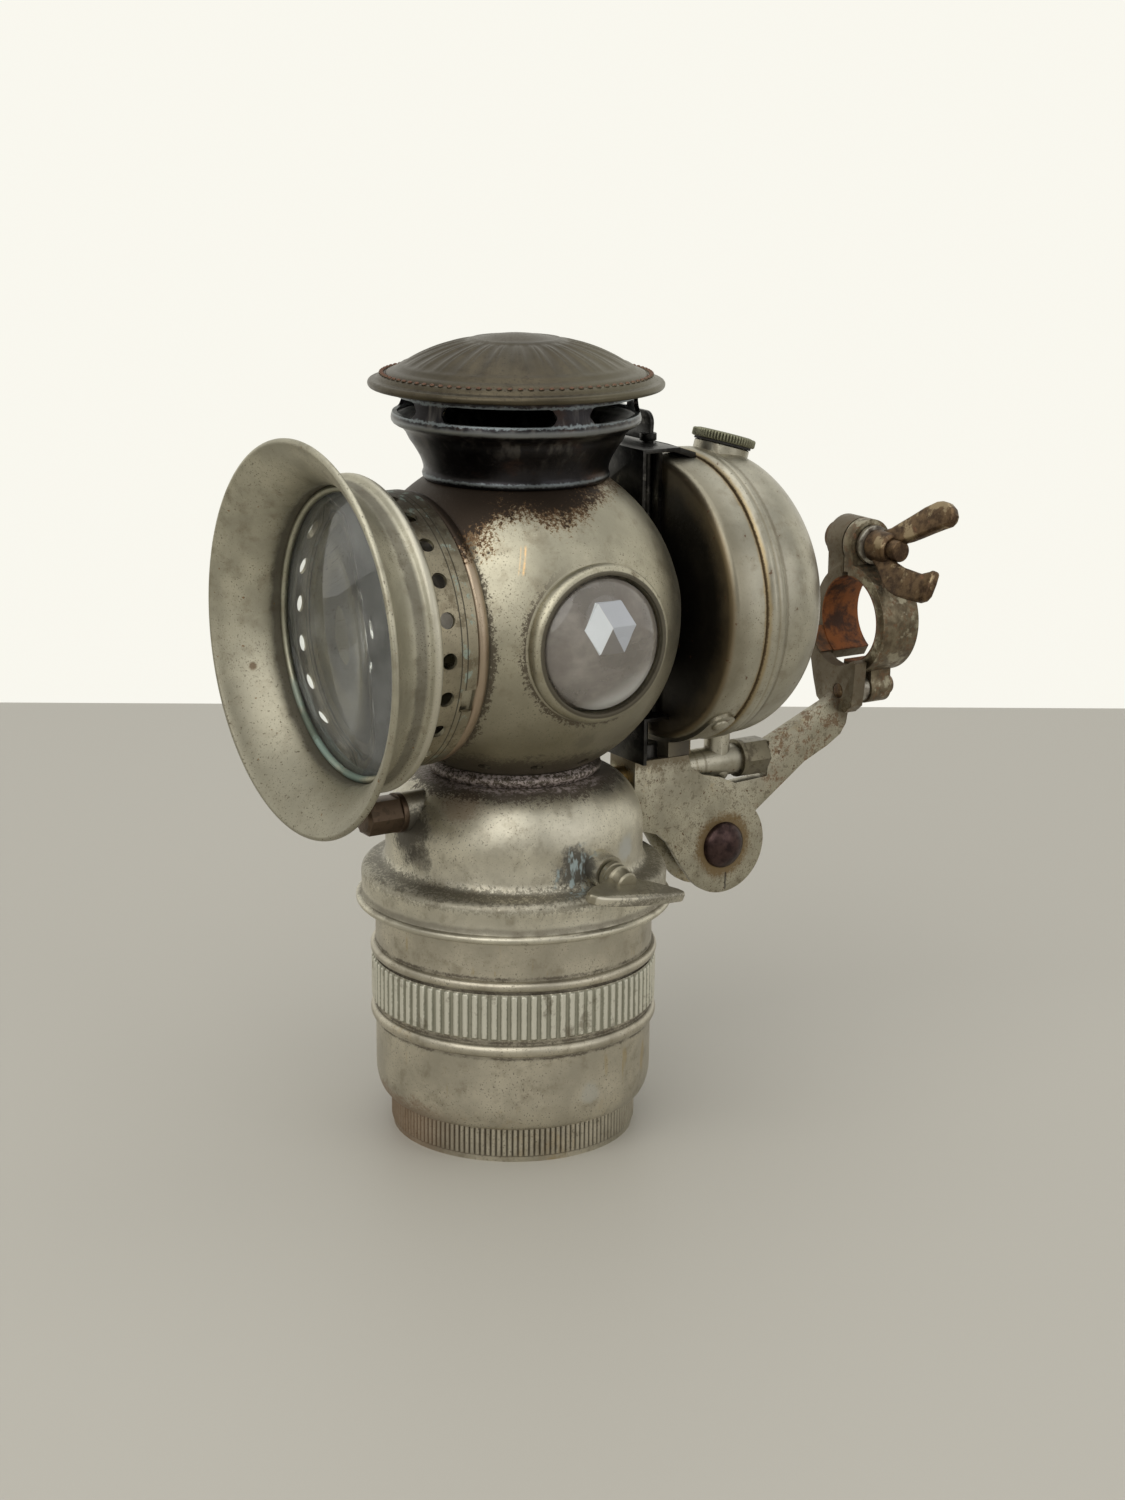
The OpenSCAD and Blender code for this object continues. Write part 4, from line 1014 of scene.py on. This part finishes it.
def makeFront():
    drum = turned("frontDrum", [(27.2, -25.6), (28, -25.6), (28, -35.2), (27.2, -35.2)], "y", steps=176)
    along = frameAt((0, 0, beamZ), (-90, "X"))
    holes = front["holes"]
    cutters = [cutRod(front["holeR"], 24, 32,
                      along @ frameAt((0, 0, front["holeY"]), (front["firstHole"] + 360 * i / holes, "Z"),
            (90, "Y")), 28) for i in range(holes)]
    pickNone()
    ops.mesh.primitive_cube_add(size=1)
    notch = setAt(bpy.context.object, along @ frameAt((0, 0, 0), (front["notchTurn"], "Z"))
                  @ frameAt((20, 0, -25.6)) @ Matrix.Diagonal((0.04, 0.005, 0.006, 1)))
    cutOut(drum, cutters + [notch])
    finishPiece(drum, "front", "drum_plate", "front_drum")
    line = [(27.2, -35.2), (30.6, -35.2), (31.1, -35.3), (31.6, -35.55), (31.95, -35.9), (32.15, -36.3),
            (32.2, -36.7), (32.1, -37.2), (31.8, -37.6), (31.4, -37.95), (31.15, -38.3), (31.0, -39),
            (31.0, -41), (31.2, -42), (31.7, -42.9), (32.5, -44.1), (33.5, -45.4), (34.8, -46.7),
            (36.2, -47.95), (37.6, -49.05), (38.6, -49.7)]
    line += arcOf(39.3, -50.3, 0.7, 0.7, 80, -150, 14) + [(37.2, -49.9), (35.5, -48.7), (34.0, -47.3),
            (32.7, -45.9), (31.7, -44.5), (30.9, -43.2), (30.4, -42.1), (30.1, -41), (30.1, -36.1),
            (27.2, -36.1)]
    hood = turned("bezelHood", line, "y", steps=200)
    finishPiece(hood, "front", "hood_plate", "bezel_hood")
    pane = turned("frontPane",
                  [(0, -36.2), (29.6, -36.2), (29.9, -36.5), (29.9, -37.5), (29.6, -37.8), (24, -38.4),
                   (20, -38.75), (16, -39.1), (12, -39.35), (8, -39.6), (4, -39.75), (0, -39.8)], "y",
                  steps=128, ring=False)
    finishPiece(pane, "front", "lens_glass", "front_glass", smooth=50)
    pickNone()
    ops.mesh.primitive_circle_add(vertices=20, radius=front["wireR"] * mm, fill_type="NGON",
                                  location=(front["wireRingR"] * mm, 0, 0), rotation=(math.pi / 2, 0, 0))
    wire = bpy.context.object
    wire.name = wire.data.name = "paneWire"
    ops.object.transform_apply(location=True, rotation=True)
    openMesh(wire)
    ops.mesh.spin(steps=140, angle=math.radians(front["wireArc"]), center=(0, 0, 0), axis=(0, 0, 1))
    closeMesh()
    openMesh(wire)
    mergeUp()
    pickOpenEdges()
    ops.mesh.edge_face_add()
    closeOutwards()
    # the gap opens at the lower left, as seen from the front
    setAt(wire, along @ frameAt((0, 0, -38.6), (front["wireGap"], "Z")))
    finishPiece(wire, "front", "lens_wire", "glass_ring")


makeBall()
makeJewel(1, "right")
makeJewel(-1, "left")
makeFront()
print("ball and front done")


# Chimney

chimney = {"slots": 5, "firstSlot": -40.4, "slotHalf": 23.5, "slotLow": 153.4, "slotH": 3.4, "capTop": 169.2,
           "capR": 30.2, "beads": 84, "petals": 24}


def slotCutter(turn):
    def place(u, v):
        # a slot whose ends are rounded off over its last few degrees
        across, low, high, rounded = (u - 0.5) * 2, 22.5, 28.5, 4.0
        tip = chimney["slotHalf"] + rounded
        past = max(0, (abs(across) * tip - chimney["slotHalf"]) / rounded)
        half = chimney["slotH"] / 2 * math.sqrt(max(0.02, 1 - past ** 2))
        angle = math.radians(turn + across * tip)
        corner = [(low, -half), (high, -half), (high, half), (low, half), (low, -half)][round(v * 4)]
        height = chimney["slotLow"] + chimney["slotH"] / 2 + corner[1]
        return corner[0] * math.cos(angle), corner[0] * math.sin(angle), height
    cutter = shapedGrid("slotCut", 28, 4, place)
    openMesh(cutter)
    mergeUp(4e-6)
    pickOpenEdges()
    ops.mesh.edge_face_add()
    closeOutwards()
    return cutter


def makeChimney():
    line = [(16.6, 140), (18.9, 140), (19.1, 140.3), (19.2, 140.8), (19.1, 141.2), (18.9, 141.6),
            (18.95, 142.4), (19.2, 143.3), (19.6, 144.3), (20.2, 145.4), (21.0, 146.7), (21.8, 147.8),
            (22.2, 148.6), (22.6, 149.4), (23.2, 150.1), (24, 150.65), (24.7, 150.95), (25.15, 151.25),
            (25.42, 151.65), (25.5, 152.1), (25.42, 152.7), (25.15, 153.5), (24.9, 154.5), (24.75, 155.6),
            (24.7, 156.5), (24.6, 160), (23.7, 160), (23.8, 156.5), (24, 154.4), (24.5, 152.6),
            (24.3, 152.1), (23.3, 151.3), (21.8, 150), (20.9, 148.2), (19.3, 145.8), (18.3, 143.5),
            (17.9, 141.6), (16.6, 140.8)]
    shell = turned("chimneyShell", line, steps=200)
    for i in range(chimney["slots"]):
        cutOut(shell, [slotCutter(chimney["firstSlot"] + 360 * i / chimney["slots"])])
    finishPiece(shell, "head", "chimney_black", "chimney")


def makeCap():
    crownR = 48
    crownZ = chimney["capTop"] - crownR
    top = arcOf(0, crownZ, crownR, crownR, 56.8, 90, 40)[:-1] + [(0, chimney["capTop"])]
    line = [(22.9, 160.06), (26.4, 160.06), (28.0, 159.2), (28.5, 158.8)] + arcOf(chimney["capR"] - 0.7,
            159.1, 0.7, 0.8, -110, 100, 14)
    line += [(28.9, 159.95), (28.5, 160.1), (28.2, 160.5), (27.9, 160.85), (27.5, 161.05), (27.2, 161.1),
             (26.9, 161.05), (26.6, 160.9)] + top
    line += [(0, chimney["capTop"] - 0.9)] + arcOf(0, crownZ, crownR - 0.9, crownR - 0.9, 89, 61, 12)
    cap = turned("capShell", line + line[:1], steps=288, ring=False)
    # embossing: a ring of petals between two raised rings, and a plain boss in the middle
    for vertex in cap.data.vertices:
        x, y, z = vertex.co / mm
        radius, turn = math.hypot(x, y), math.atan2(y, x)
        onTop = z > crownZ + math.sqrt(max(0, crownR ** 2 - radius ** 2)) - 0.1
        if onTop and radius < 26:
            outerRing = 0.32 * math.exp(-((radius - 23.6) / 0.55) ** 2)
            innerRing = 0.3 * math.exp(-((radius - 9.2) / 0.5) ** 2)
            reach = max(0, 1 - ((radius - 16.6) / 6.4) ** 2)
            width = 0.5 + 0.5 * math.cos(turn * chimney["petals"])
            petal = 0.5 * math.sqrt(reach) * max(0, width - 0.22) ** 0.6 if reach > 0 else 0
            between = math.sin(turn * chimney["petals"] / 2)
            vein = -0.22 * math.sqrt(reach) * math.exp(-(between / 0.22) ** 2)
            boss = 0.3 * mm * max(0, 1 - (radius / 7) ** 2)
            vertex.co.z += (outerRing + innerRing + petal + vein - 0.45) * mm * min(1,
                    (26 - radius) / 1.5) + boss
    pickNone()
    ops.mesh.primitive_uv_sphere_add(segments=8, ring_count=6, radius=0.5 * mm,
            location=(27.35 * mm, 0, 161.1 * mm))
    beads = bpy.context.object
    beads.name = beads.data.name = "capBeads"
    beads.scale = (1.1, 1.2, 0.8)
    ops.object.transform_apply(location=True, rotation=True, scale=True)
    openMesh(beads)
    count = chimney["beads"]
    ops.mesh.spin(dupli=True, steps=count - 1, angle=math.tau * (count - 1) / count, center=(0, 0, 0),
                  axis=(0, 0, 1))
    closeMesh()
    finishPiece(join([cap, beads]), "head", "cap_bronze", "chimney_cap")


makeChimney()
makeCap()
print("chimney done")


# Water tank

tank = {"radius": 30.5, "faceY": 33.9, "corner": 1.9, "seamY": 42.2, "bulgeY": 49.2, "bulge": 18.7,
        "saddleY": 38.7, "saddleR": 31.3, "saddleEnd": 141}
fillerFrame = frameAt((0, 51.4, 141.3), (-16, "X"))


def makeTank():
    r, back = tank["radius"], tank["radius"] + 0.5
    bend = tank["corner"]
    corner = arcOf(r - bend, tank["faceY"] + bend, bend, bend, -90, 0, 12)
    inside = arcOf(r - bend, tank["faceY"] + bend, bend - 1, bend - 1, 0, -90, 8)
    line = [(0, tank["faceY"])] + corner + [(r, tank["seamY"]),
            (r - 1, tank["seamY"])] + inside + [(0, tank["faceY"] + 1)]
    finishPiece(turned("tankFront", line, "y", steps=180, ring=False), "head", "tank_plate", "tank_front")
    line = [(r - 0.5, 42.22), (r, 42.22), (30.85, 42.4), (31.2, 42.8), (31.45, 43.3), (31.6, 43.8),
            (31.62, 44.1), (31.5, 44.6), (31.46, 44.9), (31.5, 45.2), (31.55, 45.6), (31.45, 46.1),
            (31.2, 46.6), (back, 46.9), (back, 48.2)]
    line += arcOf(0, tank["bulgeY"], back, tank["bulge"], 0, 90, 40) + arcOf(0, tank["bulgeY"], back - 1,
            tank["bulge"] - 1, 90, 0, 24)
    rear = turned("tankRear", line + line[:1], "y", steps=180, ring=False)
    cutOut(rear, [cutRod(6.05, -6, 6, fillerFrame, 64), cutRod(2.9, 75, 85, frameAt((0, 52.3, 0)), 40)])
    finishPiece(rear, "head", "tank_plate", "tank_back")
    finishCopies(("tank_saddle", "tankSaddle", 0.3, 3, "head", "tank_plate"))
    rivets = []
    for side in (-1, 1):
        rivet = turned("saddleRivet",
                       [(0, -0.4), (1.9, -0.4), (1.9, 0.2), (1.75, 0.5), (1.4, 0.74), (0.8, 0.87), (0, 0.9)],
                       steps=32, ring=False)
        stand = frameAt((0, tank["saddleY"], beamZ),
                        (tank["saddleEnd"] * side, "Y")) @ frameAt((0, 0, tank["saddleR"]))
        rivets.append(setAt(rivet, stand))
    finishPiece(join(rivets), "head", "tank_plate", "saddle_rivets")
    knurl = knurledRing("fillerCap", 60, 6.9, 6.55, 4.0, 2.0, 3.8, share=0.8, fade=0.35)
    lid = turned("fillerLid",
                 [(0, -1), (4.7, -1), (4.85, -0.8), (4.85, 2.1), (6.3, 2.1), (6.3, 3.5), (6.1, 3.85),
                  (5.6, 4.0), (5.2, 3.85), (4.9, 3.65), (4.4, 3.6), (0, 3.75)], steps=96, ring=False)
    finishPiece(setAt(join([knurl, lid]), fillerFrame), "filler", "filler_plate", "filler_cap")
    neck = turned("fillerNeck", [(5, -2), (6, -2), (6, 1.2), (5.8, 1.4), (5.2, 1.4), (5, 1.2)], steps=64)
    finishPiece(setAt(neck, fillerFrame), "head", "tank_plate", "filler_neck")
    finishCopies(("water_tee", "waterTee", 0.4, 3, "head", "tank_plate"),
                 ("support_strap", "tankStrap", 0.15, 2, "head", "strap_steel"),
                 ("valve_body", "valveBody", 0.25, 2, "head", "strap_steel"),
                 ("valve_lever", "valveFlag", 0.25, 2, "valve", "strap_steel"))


makeTank()
print("water tank done")


# Bracket and clamp

def makeBracket():
    finishCopies(("bracket_channel", "bracketCheeks", 0.25, 2, "head", "bracket_plate"),
                 ("bracket_arm", "bracketArm", 0.45, 3, "arm", "bracket_plate"),
                 ("outer_jaw", "outerJaw", 0.4, 3, "jaw", "jaw_steel"),
                 ("jaw_pin", "jawPin", 0.25, 2, "arm", "rusty_steel"),
                 ("clamp_bolt", "clampBolt", 0.35, 3, "arm", "rusty_steel"),
                 ("clamp_washer", "clampWasher", 0.2, 2, "washer", "plain_steel"))
    rivet = turned("cheekRivet",
                   [(0, -7.5), (0.9, -7.45), (2.0, -7.3), (3.0, -7.0), (4.0, -6.45), (4.7, -5.8),
                    (5.1, -5.3), (5.2, -4.8), (2.5, -4.8), (2.5, 4.8), (5.2, 4.8), (5.1, 5.3), (4.7, 5.8),
                    (4.0, 6.45), (3.0, 7.0), (2.0, 7.3), (0.9, 7.45), (0, 7.5)], steps=72, ring=False)
    finishPiece(setAt(rivet, frameAt((0, *rivetAt), (90, "Y"))), "head", "dark_steel", "pivot_rivet")


wingNut = {"thick": 2.3, "tilt": -23,
           "blades": [[(3.2, 1.4), (7.0, 1.5), (10.8, 1.8), (13.6, 2.9), (16.2, 4.2), (19.0, 5.7),
                       (21.8, 7.1), (23.8, 8.0), (24.7, 9.2), (24.5, 10.6), (23.3, 12.0), (21.4, 12.9),
                       (19.4, 13.0), (17.7, 12.6), (14.6, 10.8), (11.7, 8.6), (8.8, 6.5), (6.2, 4.6),
                       (3.6, 3.6)], [(3.2, -1.4), (3.6, -3.7), (6.4, -5.2), (8.2, -6.8), (10, -8.2),
        (12.2, -9.3), (14.6, -9.8), (18.6, -9.9), (22.6, -9.8), (24.2, -9.1), (25.0, -7.8), (25.1, -5.0),
        (24.9, -2.8), (24.3, -2.0), (23.2, -2.7), (20.8, -3.6), (14, -3.2), (8.5, -2.0)]]}


def makeWingNut():
    hub = turned("wingNut",
                 [(2.45, 2.3), (3.3, 2.3), (3.65, 2.7), (3.65, 7.6), (3.4, 8.3), (2.9, 8.7), (2.45, 8.7)],
                 steps=48)
    setAt(hub, frameAt(boltAt, (90, "Y")))
    wings = []
    for outline in wingNut["blades"]:
        blade = plate("wing", outline, wingNut["thick"], -wingNut["thick"] / 2)
        soften(blade, 0.75, 4)
        wings.append(setAt(blade, frameAt(boltAt, (wingNut["tilt"], "X"), (90, "X"))))
    finishPiece(join([hub] + wings), "wing_nut", "rusty_steel", "wing_nut")


makeBracket()
makeWingNut()
print("bracket done")


# Floor, light and camera

studio = {"floorColour": (0.47, 0.45, 0.395), "backColour": (0.95, 0.935, 0.86), "edgeBehind": 371,
          "azimuth": 58.316, "distance": 561.2, "height": 230.34, "pitch": 14.80, "yaw": 1.028,
          "roll": 0.553, "lens": 66.38}
aim = math.radians(studio["azimuth"])
ahead, right, up = Vector((-math.sin(aim), math.cos(aim), 0)), Vector((math.cos(aim), math.sin(aim),
        0)), Vector((0, 0, 1))


def makeFloor():
    pickNone()
    ops.mesh.primitive_plane_add(size=1)
    floor = bpy.context.object
    floor.name = "floor"
    deep = 3.0
    middle = ahead * (studio["edgeBehind"] * mm - deep / 2)
    floor.matrix_world = Matrix.Translation(middle) @ Matrix.Rotation(aim, 4,
            "Z") @ Matrix.Diagonal((6, deep, 1, 1))
    finish, shader, where = newFinish("floorPaint")
    mottle = noiseOf(where, 3, 4, 0.5)
    tone = studio["floorColour"]
    feed(shader.inputs["Base Color"], mixOf(mottle, [c * 0.98 for c in tone], [c * 1.02 for c in tone]))
    shader.inputs["Roughness"].default_value = 0.55
    floor.data.materials.append(finish)


def makeWorld():
    world = bpy.data.worlds.new("room")
    bpy.context.scene.world = world
    world.use_nodes = True
    tree = world.node_tree
    light = tree.nodes["Background"]
    rays = newNode(light, "LightPath").outputs
    where = Value(newNode(light, "TexCoord").outputs["Generated"])
    # what the metal sees: the pale wall behind, a darker room in front and a bright ceiling
    room = mixOf(spread(vectorCalc("DOT_PRODUCT", where, ahead), -0.3, 0.5), (0.44, 0.43, 0.40),
                 studio["backColour"])
    room = mixOf(spread(axesOf(where)[2], 0.25, 0.9), room, (0.70, 0.70, 0.67))
    sees = most(Value(rays["Is Glossy Ray"]), Value(rays["Is Transmission Ray"]))
    colour = mixOf(sees, (0.56, 0.555, 0.54), room)
    colour = mixOf(Value(rays["Is Camera Ray"]), colour, studio["backColour"])
    feed(light.inputs["Color"], colour)
    light.inputs["Strength"].default_value = 1


def addLamp(name, place, power, size, colour=(1, 1, 1)):
    pickNone()
    ops.object.light_add(type="AREA", location=place)
    lamp = bpy.context.object
    lamp.name = name
    lamp.data.shape = "DISK"
    lamp.data.size = size
    lamp.data.energy = power
    lamp.data.color = colour
    lamp.rotation_euler = (Vector((0, 0, 0.09)) - Vector(place)).to_track_quat("-Z", "Y").to_euler()


def setCamera():
    yaw, pitch, roll = (math.radians(studio[key]) for key in ("yaw", "pitch", "roll"))
    forward = ahead * math.cos(yaw) + right * math.sin(yaw)
    side = right * math.cos(yaw) - ahead * math.sin(yaw)
    look = forward * math.cos(pitch) - up * math.sin(pitch)
    top = up * math.cos(pitch) + forward * math.sin(pitch)
    tilted = side * math.cos(roll) + top * math.sin(roll)
    top = top * math.cos(roll) - side * math.sin(roll)
    turn = Matrix((tilted, top, -look)).transposed().to_4x4()
    camera = bpy.data.objects.new("camera", bpy.data.cameras.new("camera"))
    bpy.context.scene.collection.objects.link(camera)
    camera.matrix_world = Matrix.Translation((ahead * -studio["distance"]
            + up * studio["height"]) * mm) @ turn
    camera.data.lens = studio["lens"]
    camera.data.sensor_width = 36
    camera.data.sensor_fit = "AUTO"
    camera.data.clip_start = 0.01
    bpy.context.scene.camera = camera


makeFloor()
makeWorld()
addLamp("keyLight", -ahead * 0.95 - right * 0.45 + up * 1.0, 9, 1.5, (1, 0.99, 0.96))
addLamp("topLight", ahead * 0.1 + right * 0.1 + up * 1.4, 4, 1.4)
addLamp("fillLight", -ahead * 0.7 + right * 1.1 + up * 0.5, 2.2, 1.0)
setCamera()
bpy.context.scene.view_settings.view_transform = "Standard"
print("studio done")

pickNone()
